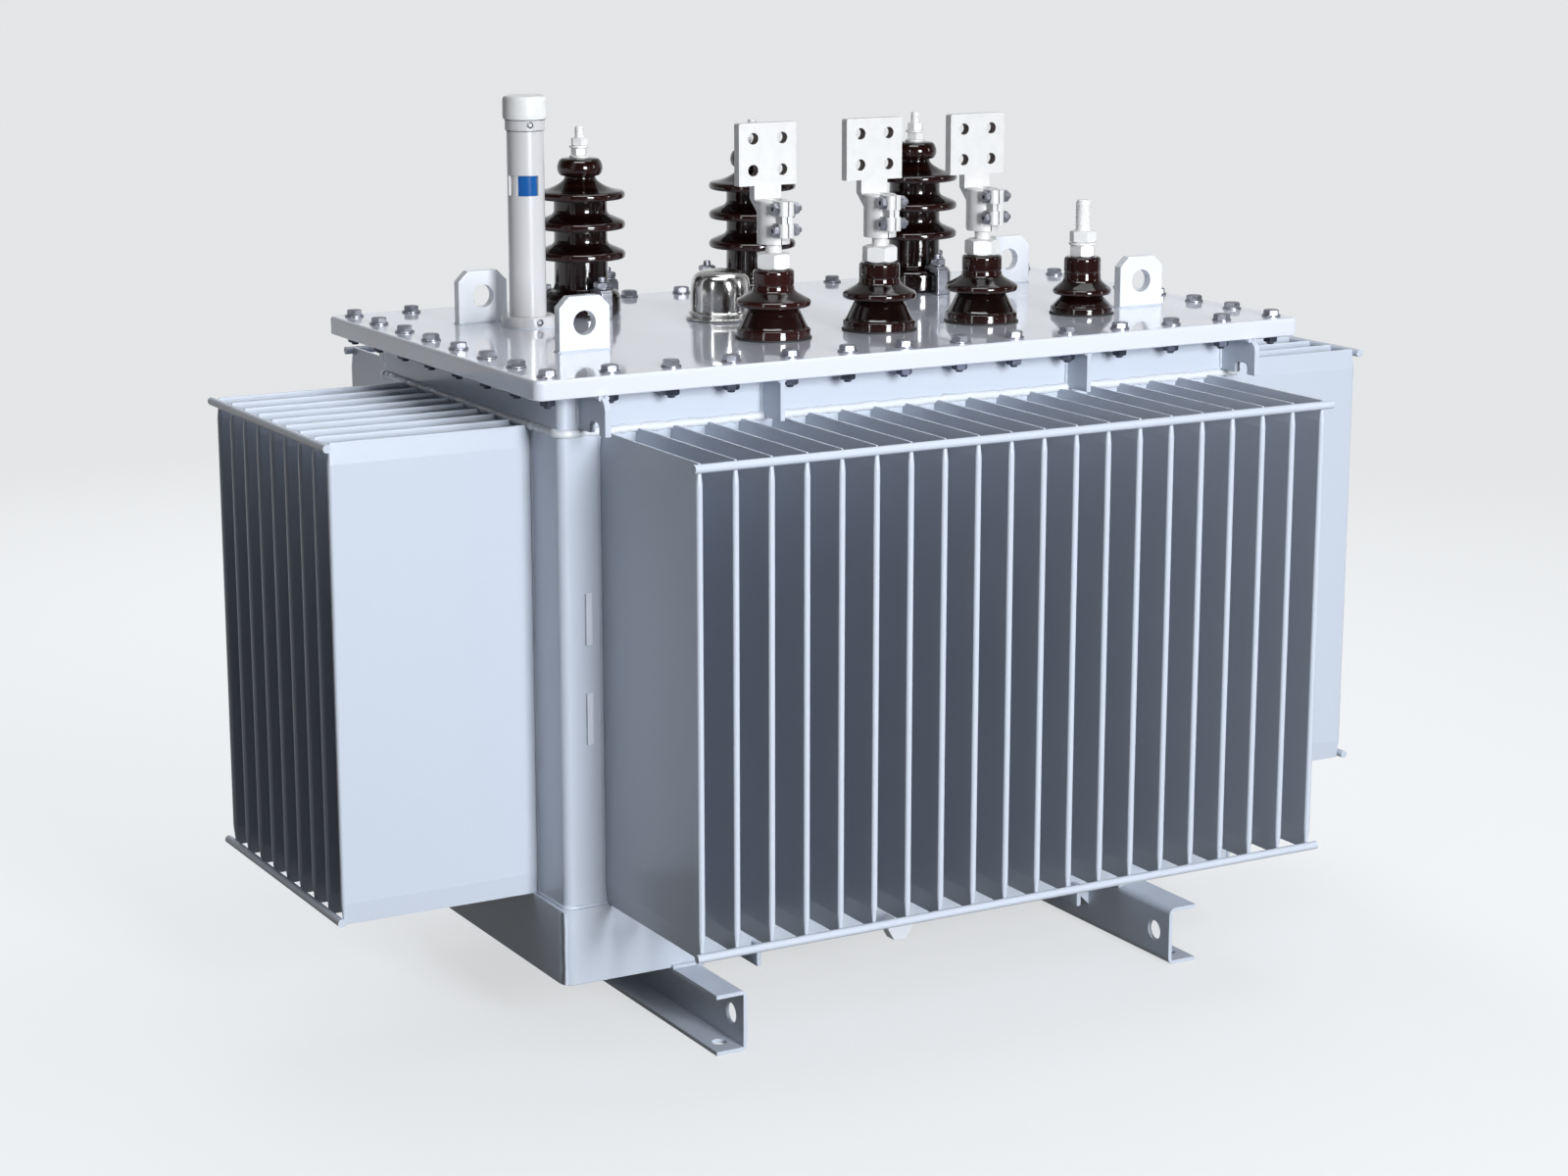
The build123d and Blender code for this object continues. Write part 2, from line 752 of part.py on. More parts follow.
def make_flag_terminal(label, x, y):
    """A flat four-hole connection plate on a split clamp that grips the stud."""
    face_y = y + flag_set_back
    neck_top = clamp_height + flag_neck_height
    neck_half = flag_neck_width / 2
    tail_half = flag_tail_width / 2
    sweep_low = clamp_height - flag_neck_sweep
    with BuildPart() as flag:
        add(clamp_barrel(x, y))
        plate_plane = upright_plane(x, face_y + flag_plate, cover_top + clamp_start)
        with BuildSketch(plate_plane):
            Polygon(
                (-tail_half, 0),
                (tail_half, 0),
                (tail_half, sweep_low),
                (neck_half, clamp_height),
                (neck_half, neck_top),
                (-neck_half, neck_top),
                (-neck_half, clamp_height),
                (-tail_half, sweep_low),
                align=None,
            )
            with Locations((0, neck_top)):
                Rectangle(flag_width, flag_height, align=(Align.CENTER, Align.MIN))
            fillet(vertices().group_by(Axis.Y)[-1], radius=flag_corner_round)
            with Locations((0, neck_top + flag_height / 2)):
                with GridLocations(flag_hole_spacing_across, flag_hole_spacing_up, 2, 2):
                    Circle(flag_hole_radius, mode=Mode.SUBTRACT)
        extrude(amount=flag_plate)
        with BuildSketch(Plane.XY.offset(cover_top + clamp_start - overrun)):
            with Locations((x, y)):
                Circle(lv_stud_radius + seat_gap)
                Rectangle(
                    clamp_slit,
                    clamp_ear_reach + overrun,
                    align=(Align.CENTER, Align.MAX),
                )
        extrude(amount=clamp_height + 2 * overrun, mode=Mode.SUBTRACT)
    save(flag, label)


# Level gauge
def make_gauge():
    """A closed sight tube on a base ring, with a window, a float and a cap."""
    foot = cover_top + gauge_base_height
    with BuildPart() as base:
        with BuildSketch(Plane.XY.offset(cover_top)):
            with Locations((gauge_x, gauge_y)):
                Circle(gauge_base_radius)
        extrude(amount=gauge_base_height)
        chamfer(faces().sort_by(Axis.Z)[-1].edges(), length=gauge_base_chamfer)
    save(base, "gauge_base")

    with BuildPart() as tube:
        with BuildSketch(Plane.XY.offset(foot)):
            with Locations((gauge_x, gauge_y)):
                Circle(gauge_tube_radius)
                Circle(gauge_tube_radius - gauge_tube_wall, mode=Mode.SUBTRACT)
        extrude(amount=gauge_tube_height)
        with BuildSketch(Plane.XY.offset(foot + gauge_tube_height - gauge_collar_height)):
            with Locations((gauge_x, gauge_y)):
                Circle(gauge_collar_radius)
                Circle(gauge_tube_radius - gauge_tube_wall, mode=Mode.SUBTRACT)
        extrude(amount=gauge_collar_height)
        half_sweep = radians(gauge_window_sweep / 2)
        reach = (gauge_collar_radius + overrun) / cos(half_sweep)
        window_turn = radians(gauge_window_turn)
        window_ends = (window_turn - half_sweep, window_turn + half_sweep)
        with BuildSketch(Plane.XY.offset(cover_top + gauge_window_low)):
            with Locations((gauge_x, gauge_y)):
                Polygon(
                    (0, 0),
                    *[(reach * cos(turn), reach * sin(turn)) for turn in window_ends],
                    align=None,
                )
        extrude(amount=gauge_window_height, mode=Mode.SUBTRACT)
    save(tube, "gauge_tube")

    with BuildPart() as level_float:
        with BuildSketch(Plane.XY.offset(cover_top + float_low)):
            with Locations((gauge_x, gauge_y)):
                Circle(gauge_tube_radius - gauge_tube_wall - seat_gap)
        extrude(amount=float_height)
    save(level_float, "gauge_float")

    with BuildPart() as cap:
        with BuildSketch(Plane.XY.offset(foot + gauge_tube_height)):
            with Locations((gauge_x, gauge_y)):
                Circle(gauge_cap_radius)
        extrude(amount=gauge_cap_height)
        fillet(faces().sort_by(Axis.Z)[-1].edges(), radius=gauge_cap_round)
    save(cap, "gauge_cap")


# Vent dome
def make_dome():
    """A polished domed cap with a turned-out lip."""
    with BuildPart() as dome:
        with BuildSketch(upright_plane(dome_x, dome_y, cover_top)):
            Rectangle(dome_radius, dome_height, align=(Align.MIN, Align.MIN))
            fillet(
                vertices().group_by(Axis.Y)[-1].sort_by(Axis.X)[-1], radius=dome_top_round
            )
            Rectangle(dome_lip_radius, dome_lip_height, align=(Align.MIN, Align.MIN))
        revolve(axis=upright_axis(dome_x, dome_y))
    save(dome, "vent_dome")


# Drain valve
def make_drain():
    """A short drain pipe out of the tray's front, closed by a hexagon cap."""
    face = -(tank_depth / 2 + tray_plate)
    with BuildPart() as drain:
        with BuildSketch(upright_plane(drain_x, face, drain_height)):
            Circle(drain_pipe_radius)
        extrude(amount=drain_reach)
        with BuildSketch(upright_plane(drain_x, face - drain_reach, drain_height)):
            RegularPolygon(drain_cap_width / 2, 6, major_radius=False)
        extrude(amount=drain_cap_length)
    save(drain, "drain_valve")


make_tray()
make_corner_posts()
make_upper_band()
make_core_and_oil()
walls = (
    ("front", 180, tank_depth / 2, front_panel_width, front_fin_count, front_fin_depth),
    ("back", 0, tank_depth / 2, front_panel_width, front_fin_count, front_fin_depth),
    ("left", 90, tank_length / 2, end_panel_width, end_fin_count, end_fin_depth),
    ("right", -90, tank_length / 2, end_panel_width, end_fin_count, end_fin_depth),
)
for name, turn, distance, panel_width, fin_count, fin_depth in walls:
    make_corrugated_wall(f"{name}_wall", turn, distance, panel_width, fin_count, fin_depth)
    make_tie_rods(f"{name}_tie_rods", turn, distance, fin_count, fin_depth)
make_rail("left_rail", -1)
make_rail("right_rail", 1)
make_gussets()
make_jacking_plates()
make_hooks()
make_stiffeners()
make_ring("tank_flange", band_top, flange_thickness)
make_ring("cover_gasket", flange_top, gasket_thickness)
make_cover()
cover_lug_rows = (
    ("front", front_cover_lug_spacing, front_cover_lug_shift, front_cover_lug_y),
    ("back", back_cover_lug_spacing, back_cover_lug_shift, back_cover_lug_y),
)
for end, spacing, shift, y in cover_lug_rows:
    make_cover_lug(f"cover_lug_{end}_left", shift - spacing / 2, y)
    make_cover_lug(f"cover_lug_{end}_right", shift + spacing / 2, y)
for number, (x, y) in enumerate(hv_places, start=1):
    make_hv_porcelain(f"hv_porcelain_{number}", x, y)
make_hv_terminals()
make_hv_clamps()
for number, (x, y) in enumerate(lv_places, start=1):
    make_lv_porcelain(f"lv_porcelain_{number}", x, y, lv_outline(), lv_shed_radius)
    make_lv_stud(f"lv_stud_{number}", x, y)
    make_flag_terminal(f"flag_terminal_{number}", x, y)
make_lv_porcelain(
    "neutral_porcelain", neutral_x, lv_y, neutral_outline(), neutral_shed_radius
)
make_neutral_stud()
make_gauge()
make_dome()
make_drain()
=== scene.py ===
"""Visible model of an oil-filled distribution transformer, laid out as an add-on."""
import math

import bmesh
import bpy
from bpy.props import FloatProperty, FloatVectorProperty, IntProperty, PointerProperty
from mathutils import Matrix, Vector


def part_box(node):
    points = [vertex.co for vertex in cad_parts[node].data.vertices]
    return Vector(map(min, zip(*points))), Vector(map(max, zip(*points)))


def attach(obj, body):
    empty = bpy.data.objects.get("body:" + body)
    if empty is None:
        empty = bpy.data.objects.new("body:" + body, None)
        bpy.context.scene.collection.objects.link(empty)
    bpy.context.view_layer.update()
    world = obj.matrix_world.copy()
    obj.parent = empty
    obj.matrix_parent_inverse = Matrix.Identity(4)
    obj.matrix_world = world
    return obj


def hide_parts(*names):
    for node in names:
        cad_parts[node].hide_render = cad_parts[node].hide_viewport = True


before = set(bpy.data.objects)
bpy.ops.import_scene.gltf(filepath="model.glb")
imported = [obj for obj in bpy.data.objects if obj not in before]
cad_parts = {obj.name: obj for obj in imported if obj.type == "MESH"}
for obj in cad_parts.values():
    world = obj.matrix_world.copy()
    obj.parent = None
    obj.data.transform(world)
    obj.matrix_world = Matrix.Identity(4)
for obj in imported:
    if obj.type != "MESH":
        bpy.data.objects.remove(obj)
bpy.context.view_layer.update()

bl_info = {
    "name": "Distribution Transformer",
    "version": (1, 0, 0),
    "blender": (4, 5, 0),
    "location": "View3D > Sidebar > Transformer",
    "description": "Dresses a distribution transformer with paint, glaze, fasteners and welds",
    "category": "Object",
}

MM = 0.001
FRONT, LEFT, RIGHT = (0, -1, 0), (-1, 0, 0), (1, 0, 0)
UP, DOWN = (0, 0, 1), (0, 0, -1)


def corner(node, which):
    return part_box(node)[which]


def middle(node):
    low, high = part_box(node)
    return (low + high) / 2


COVER_TOP = corner("cover", 1).z
BAND_LOW, BAND_TOP = corner("upper_band", 0).z, corner("upper_band", 1).z
TANK = corner("upper_band", 1)
TRAY = corner("tank_tray", 1)
TRAY_LOW = corner("tank_tray", 0).z
CORNERS = [(sx, sy) for sx in (-1, 1) for sy in (-1, 1)]
LUGS = [f"cover_lug_{end}_{side}" for end in ("front", "back") for side in ("left", "right")]
ORIGIN = Matrix.Identity(4)


# Settings that a user would change
def colour_setting(name, description, default):
    return FloatVectorProperty(
        name=name, description=description, subtype="COLOR", size=3, min=0, max=1, default=default
    )


def length_setting(name, description, low, high, default):
    return FloatProperty(
        name=name, description=description, subtype="DISTANCE", unit="LENGTH",
        min=low, max=high, default=default,
    )


def factor_setting(name, description, high, default):
    return FloatProperty(
        name=name, description=description, subtype="FACTOR", min=0, max=high, default=default
    )


def count_setting(name, description, low, high, default):
    return IntProperty(name=name, description=description, min=low, max=high, default=default)


class FinishSettings(bpy.types.PropertyGroup):
    paint: colour_setting(
        "Paint", "Colour of the gloss paint on the tank and its walls", (0.54, 0.59, 0.675)
    )
    # Painted light: the cover's paint is the tank's grey made paler, so that the cover's top and
    # rim look lit.
    cover_paint: colour_setting(
        "Cover paint", "Colour of the gloss paint on the cover", (0.64, 0.665, 0.705)
    )
    glaze: colour_setting(
        "Glaze", "Colour of the porcelain's glaze where it lies thick", (0.0042, 0.0015, 0.0016)
    )
    thin_glaze: colour_setting(
        "Thin glaze", "Colour of the glaze along the sheds' edges", (0.018, 0.0042, 0.0036)
    )
    tin: colour_setting("Tin", "Colour of the tinned studs and plates", (0.765, 0.76, 0.755))
    zinc: colour_setting("Zinc", "Colour of the plated bolts and claws", (0.37, 0.375, 0.42))


class FastenerSettings(bpy.types.PropertyGroup):
    head_width: length_setting(
        "Head width", "Width across the flats of a cover bolt", 0.005, 0.05, 0.018
    )
    head_height: length_setting("Head height", "Height of a cover bolt's head", 0.002, 0.03, 0.0064)
    washer_radius: length_setting(
        "Washer radius", "Radius of the washer under a cover bolt", 0.004, 0.05, 0.012
    )
    edge_inset: length_setting(
        "Edge inset", "Distance from the cover's edge to the bolt line", 0.01, 0.2, 0.026
    )
    long_side: count_setting("Long side", "Bolts along each long side", 2, 60, 14)
    short_side: count_setting("Short side", "Bolts along each end, corners included", 2, 60, 8)
    seed: count_setting("Seed", "Seed of the turns that the heads are left at", 0, 999, 7)


class WeldSettings(bpy.types.PropertyGroup):
    bead: length_setting("Bead", "Radius of a weld bead", 0.0005, 0.01, 0.0028)
    ripple: length_setting(
        "Ripple", "Distance from one ripple of a bead to the next", 0.001, 0.02, 0.0035
    )
    wander: length_setting(
        "Wander", "How far a hand-laid bead strays from its line", 0, 0.01, 0.0016
    )
    seed: count_setting("Seed", "Seed of the beads' unevenness", 0, 999, 3)


class StageSettings(bpy.types.PropertyGroup):
    floor: colour_setting("Floor", "Colour of the studio floor", (0.27, 0.275, 0.28))
    backdrop: factor_setting(
        "Backdrop", "Brightness of the floor and backdrop away from the object", 1, 0.80
    )
    key_power: FloatProperty(
        name="Key power", description="Power of the front light, which the other lights follow",
        subtype="POWER", unit="POWER", min=0, max=5000, default=312,
    )
    ambient: factor_setting("Ambient", "Strength of the light from all round", 2, 0.27)
    lens: FloatProperty(
        name="Lens", description="Focal length on a 36 mm wide sensor",
        min=10, max=300, default=73.3,
    )


# Materials
def material(name, **values):
    """A new material whose shader sockets have these constant values."""
    made = bpy.data.materials.new(name)
    made.use_nodes = True
    shader = made.node_tree.nodes["Principled BSDF"]
    for socket, value in values.items():
        shader.inputs[socket.replace("_", " ")].default_value = value
    return made


def rgba(colour, share=1.0):
    """Four numbers for a socket, from a colour times a share."""
    return (*(min(1.0, channel * share) for channel in colour), 1.0)


def times(colour, *shares):
    """A colour with its channels times one share, or each times its own."""
    return [c * share for c, share in zip(colour, shares * 3 if len(shares) == 1 else shares)]


def feed(tree, socket, value):
    """Gives a socket a link or a constant."""
    if isinstance(value, bpy.types.NodeSocket):
        tree.links.new(value, socket)
    else:
        socket.default_value = value


def add_node(tree, kind, settings=(), **links):
    """A node with its settings, whose inputs take sockets or constants."""
    node = tree.nodes.new(kind)
    for attribute, value in dict(settings).items():
        setattr(node, attribute, value)
    for label, source in links.items():
        named = [s for s in node.inputs if s.name == label.replace("_", " ") and s.enabled]
        feed(tree, named[0], source)
    return node


def compute(tree, operation, first, second, kind="ShaderNodeMath"):
    """The result of one sum on two numbers or vectors, each a socket or a constant."""
    node = add_node(tree, kind, {"operation": operation})
    feed(tree, node.inputs[0], first)
    feed(tree, node.inputs["Scale" if operation == "SCALE" else 1], second)
    return node.outputs[0]


def noise(tree, scale, detail):
    """Noise on object coordinates, scale being cells a metre."""
    place = add_node(tree, "ShaderNodeTexCoord").outputs["Object"]
    made = add_node(tree, "ShaderNodeTexNoise", Vector=place, Scale=scale, Detail=detail)
    return made.outputs["Fac"]


def spread(tree, value, low, high, from_low=0.3, from_high=0.7):
    """Maps a value smoothly onto low to high; noise mostly stays within the preset range."""
    made = add_node(
        tree, "ShaderNodeMapRange", {"interpolation_type": "SMOOTHSTEP"}, Value=value,
        From_Min=from_low, From_Max=from_high, To_Min=low, To_Max=high,
    )
    return made.outputs["Result"]


def blend(tree, factor, first, second):
    """A mix of two colours, each a socket or four numbers."""
    node = tree.nodes.new("ShaderNodeMix")
    node.data_type = "RGBA"
    for index, value in ((0, factor), (6, first), (7, second)):
        feed(tree, node.inputs[index], value)
    return node.outputs[2]


def mottled(tree, colour, low, high, scale, detail):
    """A colour that noise moves between two shares of itself."""
    return blend(tree, noise(tree, scale, detail), rgba(colour, low), rgba(colour, high))


def bump(tree, height, depth, under=None):
    """A normal pushed in and out by a height, over another bump if one is given."""
    node = add_node(tree, "ShaderNodeBump", Strength=1.0, Distance=depth, Height=height)
    if under:
        tree.links.new(under, node.inputs["Normal"])
    return node.outputs["Normal"]


def wire(made, **sockets):
    """Links sockets to the material's shader."""
    shader = made.node_tree.nodes["Principled BSDF"]
    for socket, source in sockets.items():
        made.node_tree.links.new(source, shader.inputs[socket.replace("_", " ")])
    return made


def paint_material(name, colour, waviness=0.0006, rough=0.27, coat=0.25):
    """Sprayed gloss paint: orange peel and slight waves in the sheet."""
    made = material(name, Coat_Weight=coat, Coat_Roughness=0.04, Roughness=rough)
    tree = made.node_tree
    tint = mottled(tree, colour, 0.993, 1.007, 150.0, 2.0)
    wave = bump(tree, noise(tree, 5.5, 1.0), waviness)
    peel = bump(tree, noise(tree, 420.0, 1.0), 0.00004, under=wave)
    return wire(made, Base_Color=tint, Normal=peel)


def glaze_material(name, thick, thin):
    """Brown glaze that thins and reddens at the edges, under a glassy surface."""
    made = material(name, Coat_Weight=0.3, Coat_Roughness=0.02, Specular_IOR_Level=0.4)
    tree = made.node_tree
    edge = tree.nodes.new("ShaderNodeAttribute")
    edge.attribute_name = "thinness"
    cloud = spread(tree, noise(tree, 60.0, 5.0), 0, 1)
    mottle = blend(tree, cloud, rgba(thick), rgba(thin, 0.35))
    tint = blend(tree, edge.outputs["Fac"], mottle, rgba(thin))
    rough = spread(tree, noise(tree, 90.0, 2.0), 0.08, 0.14)
    dimple = bump(tree, noise(tree, 55.0, 2.0), 0.0004)
    return wire(made, Base_Color=tint, Roughness=rough, Normal=dimple)


def metal_material(
    name, colour, rough_low, rough_high, grain=300.0, depth=0.00006, stain=0.85, metallic=1.0
):
    """Plated metal with a clouded surface and a fine grain."""
    made = material(name, Metallic=metallic)
    tree = made.node_tree
    cloud = spread(tree, noise(tree, 70.0, 5.0), 0, 1)
    tint = blend(tree, cloud, rgba(colour, stain), rgba(colour, 1.04))
    rough = spread(tree, noise(tree, 130.0, 4.0), rough_low, rough_high)
    fine = bump(tree, noise(tree, grain, 3.0), depth)
    return wire(made, Base_Color=tint, Roughness=rough, Normal=fine)


def dull_material(name, colour, rough, grain, depth):
    """Moulded plastic or rubber with a fine surface texture."""
    made = material(name, Specular_IOR_Level=0.45)
    tree = made.node_tree
    tint = mottled(tree, colour, 0.92, 1.05, 40.0, 4.0)
    low, high = rough
    return wire(
        made,
        Base_Color=tint,
        Roughness=spread(tree, noise(tree, 80.0, 3.0), low, high),
        Normal=bump(tree, noise(tree, grain, 2.0), depth),
    )


FINISHES = {}


def make_finishes(settings):
    """Makes each finish once; the first operator that needs one calls this."""
    if FINISHES:
        return
    paint, cover, tin = settings.paint, settings.cover_paint, settings.tin
    thick, thin = settings.glaze, settings.thin_glaze
    tinned = {"stain": 0.985, "metallic": 0.2}
    FINISHES.update(
        paint=paint_material("grey_gloss_paint", paint),
        # Painted light: the cover colour made paler still, so that the lugs look brightly lit and
        # the top weld shows a painted highlight.
        pale_paint=paint_material("pale_grey_gloss_paint", times(cover, 1.12), rough=0.22),
        gauge_paint=paint_material("warm_grey_gloss_paint", (0.585, 0.58, 0.59)),
        sheet_paint=paint_material("grey_gloss_paint_on_sheet", paint, 0.0012),
        # Painted light: a still paler, bluer copy of the cover colour makes the cover's top and rim
        # look lit.
        cover_paint=paint_material(
            "gloss_paint_on_cover", times(cover, 1.08, 1.08, 1.14), 0.0004, 0.10, coat=0.8
        ),
        glaze=glaze_material("brown_glaze", thick, thin),
        red_glaze=glaze_material("red_brown_glaze", times(thick, 3.0), times(thin, 1.6)),
        tin=metal_material("tinned_copper", tin, 0.50, 0.56, **tinned),
        # Painted shade: the plates' tin is the studs' tin made darker, so that their faces towards
        # the key light stay below white.
        plate=metal_material("tinned_plate", times(tin, 0.84), 0.50, 0.56, **tinned),
        # Bare copper, made far darker than copper as painted shade inside the plates' holes.
        bore=metal_material("bare_copper_bore", (0.16, 0.13, 0.12), 0.5, 0.7),
        zinc=metal_material("zinc_plating", settings.zinc, 0.30, 0.46),
        # Painted shade: zinc made nearly black for the nuts that sit in the shade under the flange.
        dull_zinc=metal_material(
            "dulled_zinc_plating", (0.075, 0.085, 0.12), 0.3, 0.45, metallic=0.8
        ),
        steel=metal_material(
            "polished_stainless", (0.72, 0.71, 0.69), 0.13, 0.20, 500.0, 0.00002, 0.95
        ),
        dark_steel=metal_material("blackened_steel", (0.10, 0.10, 0.11), 0.35, 0.5),
        white=dull_material(
            "white_plastic", (0.77, 0.77, 0.765), (0.28, 0.40), 700.0, 0.00003
        ),
        blue=dull_material(
            "blue_float_plastic", (0.010, 0.095, 0.33), (0.10, 0.18), 200.0, 0.00002
        ),
        rubber=dull_material("black_rubber", (0.022, 0.022, 0.023), (0.5, 0.7), 900.0, 0.00008),
        hidden=dull_material("dark_oil", (0.06, 0.045, 0.02), (0.2, 0.3), 300.0, 0.00002),
    )


def set_finish(piece, finish):
    piece.data.materials.clear()
    piece.data.materials.append(FINISHES[finish])


def dress(node, finish):
    """Gives a CAD node its finish."""
    set_finish(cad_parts[node], finish)


# Making meshes
def at(place, z, turn=0.0):
    """A matrix to a height over a place, turned round Z."""
    return Matrix.Translation((place.x, place.y, z)) @ Matrix.Rotation(turn, 4, "Z")


def ring_of(bm, points, matrix=ORIGIN):
    return [bm.verts.new(matrix @ Vector(point)) for point in points]


def circle(radius, z, segments):
    """Points round Z at one height."""
    angles = [math.tau * step / segments for step in range(segments)]
    return [(radius * math.cos(angle), radius * math.sin(angle), z) for angle in angles]


def skin(bm, rings):
    """Quads from each ring to the next, with the two ends closed."""
    for low, high in zip(rings, rings[1:]):
        for step in range(len(low)):
            after = (step + 1) % len(low)
            bm.faces.new((low[step], low[after], high[after], high[step]))
    bm.faces.new(rings[0][::-1])
    bm.faces.new(rings[-1])


def rounded(profile):
    """A profile of (radius, height, fillet) with each corner turned into a short curve."""
    steps, longest = 5, 0.49
    points = []
    for index, (r, z, fillet) in enumerate(profile):
        here = Vector((r, z))
        if not fillet or index in (0, len(profile) - 1):
            points.append(here)
            continue
        before = Vector(profile[index - 1][:2]) - here
        after = Vector(profile[index + 1][:2]) - here
        start = here + before.normalized() * min(fillet, before.length * longest)
        end = here + after.normalized() * min(fillet, after.length * longest)
        for step in range(steps + 1):
            t = step / steps
            points.append(start * (1 - t) ** 2 + here * 2 * t * (1 - t) + end * t * t)
    return points


def revolve(bm, profile, matrix, segments):
    """Turns (radius, height) in metres round local Z into a closed skin of rings."""
    rings = [ring_of(bm, circle(r, z, segments), matrix) for r, z in profile]
    skin(bm, rings)
    return rings


def lathe(bm, profile, matrix, segments, thinness=None):
    """Turns (radius, height, fillet) in millimetres; thinness maps a radius to 0..1."""
    smallest = 0.02
    points = [(max(r, smallest), z) for r, z in rounded(profile)]
    rings = revolve(bm, [(r * MM, z * MM) for r, z in points], matrix, segments)
    if thinness:
        layer = bm.verts.layers.float["thinness"]
        for ring, (r, z) in zip(rings, points):
            for vertex in ring:
                vertex[layer] = thinness(r)


def hexagon(bm, width, low, high, matrix=ORIGIN, hole=0.0, flat_foot=False):
    """A nut or head with chamfered corners, in metres along local Z."""
    segments, face_share, socket_floor = 24, 0.94, 0.35
    flat = width / 2
    face = flat * face_share
    outline, drops = [], []
    for step in range(segments):
        angle = math.tau * step / segments
        reach = flat / math.cos((angle + math.pi / 6) % (math.pi / 3) - math.pi / 6)
        outline.append((reach * math.cos(angle), reach * math.sin(angle)))
        drops.append((reach - face) * math.tan(math.radians(30)))

    def corners(z, way):
        """The six-sided outline, with its corners dropped away from z."""
        return [(x, y, z + way * drop) for (x, y), drop in zip(outline, drops)]

    levels = [corners(low, 0)] if flat_foot else [circle(face, low, segments), corners(low, 1)]
    levels += [corners(high, -1), circle(face, high, segments)]
    if hole:
        floor = low + (high - low) * socket_floor
        levels += [circle(hole, z, segments) for z in (high, floor)]
    skin(bm, [ring_of(bm, level, matrix) for level in levels])


def disc(bm, radius, low, high, matrix=ORIGIN, segments=24):
    """A flat round washer with softened edges, in metres along local Z."""
    edge = 0.0004
    inner = radius - edge
    profile = [(inner, low), (radius, low + edge), (radius, high - edge), (inner, high)]
    revolve(bm, profile, matrix, segments)


def thread(bm, radius, low, high, pitch, matrix=ORIGIN, segments=24):
    """A stud with the grooves of its thread and a chamfered end, in metres along local Z."""
    depth = pitch * 0.32
    groove = radius - depth
    profile = [(groove, low)]
    level = low
    while level + pitch < high - depth * 2:
        profile += [(radius, level + pitch * share) for share in (0.4, 0.6)]
        profile.append((groove, level + pitch))
        level += pitch
    profile += [(groove, high - depth * 1.5), (radius - depth * 2.2, high)]
    revolve(bm, profile, matrix, segments)


def link(name, data):
    made = bpy.data.objects.new(name, data)
    bpy.context.scene.collection.objects.link(made)
    return made


def object_of(bm, name):
    """A new object at the origin that holds a mesh."""
    data = bpy.data.meshes.new(name)
    bm.to_mesh(data)
    bm.free()
    return link(name, data)


def plain_mesh(piece):
    """Turns what a piece's modifiers give into its own mesh and removes them."""
    graph = bpy.context.evaluated_depsgraph_get()
    result = bpy.data.meshes.new_from_object(piece.evaluated_get(graph), depsgraph=graph)
    old = piece.data
    piece.modifiers.clear()
    piece.data = result
    result.name = piece.name
    if old.users == 0:
        bpy.data.meshes.remove(old)


def shade(data, angle):
    """Smooth faces, with edges sharper than the angle in degrees kept crisp."""
    bm = bmesh.new()
    bm.from_mesh(data)
    limit = math.radians(angle)
    for face in bm.faces:
        face.smooth = True
    for edge in bm.edges:
        edge.smooth = len(edge.link_faces) == 2 and edge.calc_face_angle(0) < limit
    bm.to_mesh(data)
    bm.free()


def soften(piece, width):
    """Rounds a piece's edges and keeps its flat faces flat in the light."""
    bevel = piece.modifiers.new("Edges", "BEVEL")
    bevel.width = width
    bevel.segments = 2
    bevel.limit_method = "ANGLE"
    bevel.angle_limit = math.radians(30)
    bevel.miter_outer = "MITER_ARC"
    plain_mesh(piece)
    shade(piece.data, 50)
    piece.modifiers.new("Flats", "WEIGHTED_NORMAL").keep_sharp = True
    plain_mesh(piece)


def seat(piece, nodes=()):
    """Puts a piece on the body and hides the CAD nodes it stands for."""
    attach(piece, "root")
    if nodes:
        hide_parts(*nodes)


def piece_from(bm, name, finish, nodes=(), edge=0.0, angle=35):
    """Makes a piece of a mesh, with its edges softened or else its faces shaded smooth."""
    bmesh.ops.remove_doubles(bm, verts=bm.verts, dist=1e-7)
    bmesh.ops.recalc_face_normals(bm, faces=bm.faces)
    piece = object_of(bm, name)
    if edge:
        soften(piece, edge)
    else:
        shade(piece.data, angle)
    set_finish(piece, finish)
    seat(piece, nodes)


def edged_copy(node, finish, edge):
    """A copy of a CAD node with whole faces and softened edges, which shows in its place."""
    bm = bmesh.new()
    bm.from_mesh(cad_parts[node].data)
    bmesh.ops.remove_doubles(bm, verts=bm.verts, dist=1e-6)
    bmesh.ops.dissolve_limit(
        bm, angle_limit=math.radians(0.5), verts=bm.verts, edges=bm.edges, delimit={"NORMAL"}
    )
    piece = object_of(bm, f"{node}_edged")
    soften(piece, edge)
    set_finish(piece, finish)
    seat(piece, (node,))
    return piece


# Geometry Nodes
def new_tree(name, **inputs):
    """A tree with a geometry input, these other inputs, and a geometry output."""
    tree = bpy.data.node_groups.new(name, "GeometryNodeTree")
    for label, kind in {"Geometry": "Geometry", **inputs}.items():
        tree.interface.new_socket(label, in_out="INPUT", socket_type=f"NodeSocket{kind}")
    tree.interface.new_socket("Geometry", in_out="OUTPUT", socket_type="NodeSocketGeometry")
    return tree, tree.nodes.new("NodeGroupInput").outputs


def end_tree(tree, shape, finish):
    """Makes a tree's shape real, gives it its finish and hands it out."""
    real = add_node(tree, "GeometryNodeRealizeInstances", Geometry=shape)
    painted = add_node(
        tree, "GeometryNodeSetMaterial", Geometry=real.outputs["Geometry"], Material=finish
    )
    add_node(tree, "NodeGroupOutput", Geometry=painted.outputs["Geometry"])
    return tree


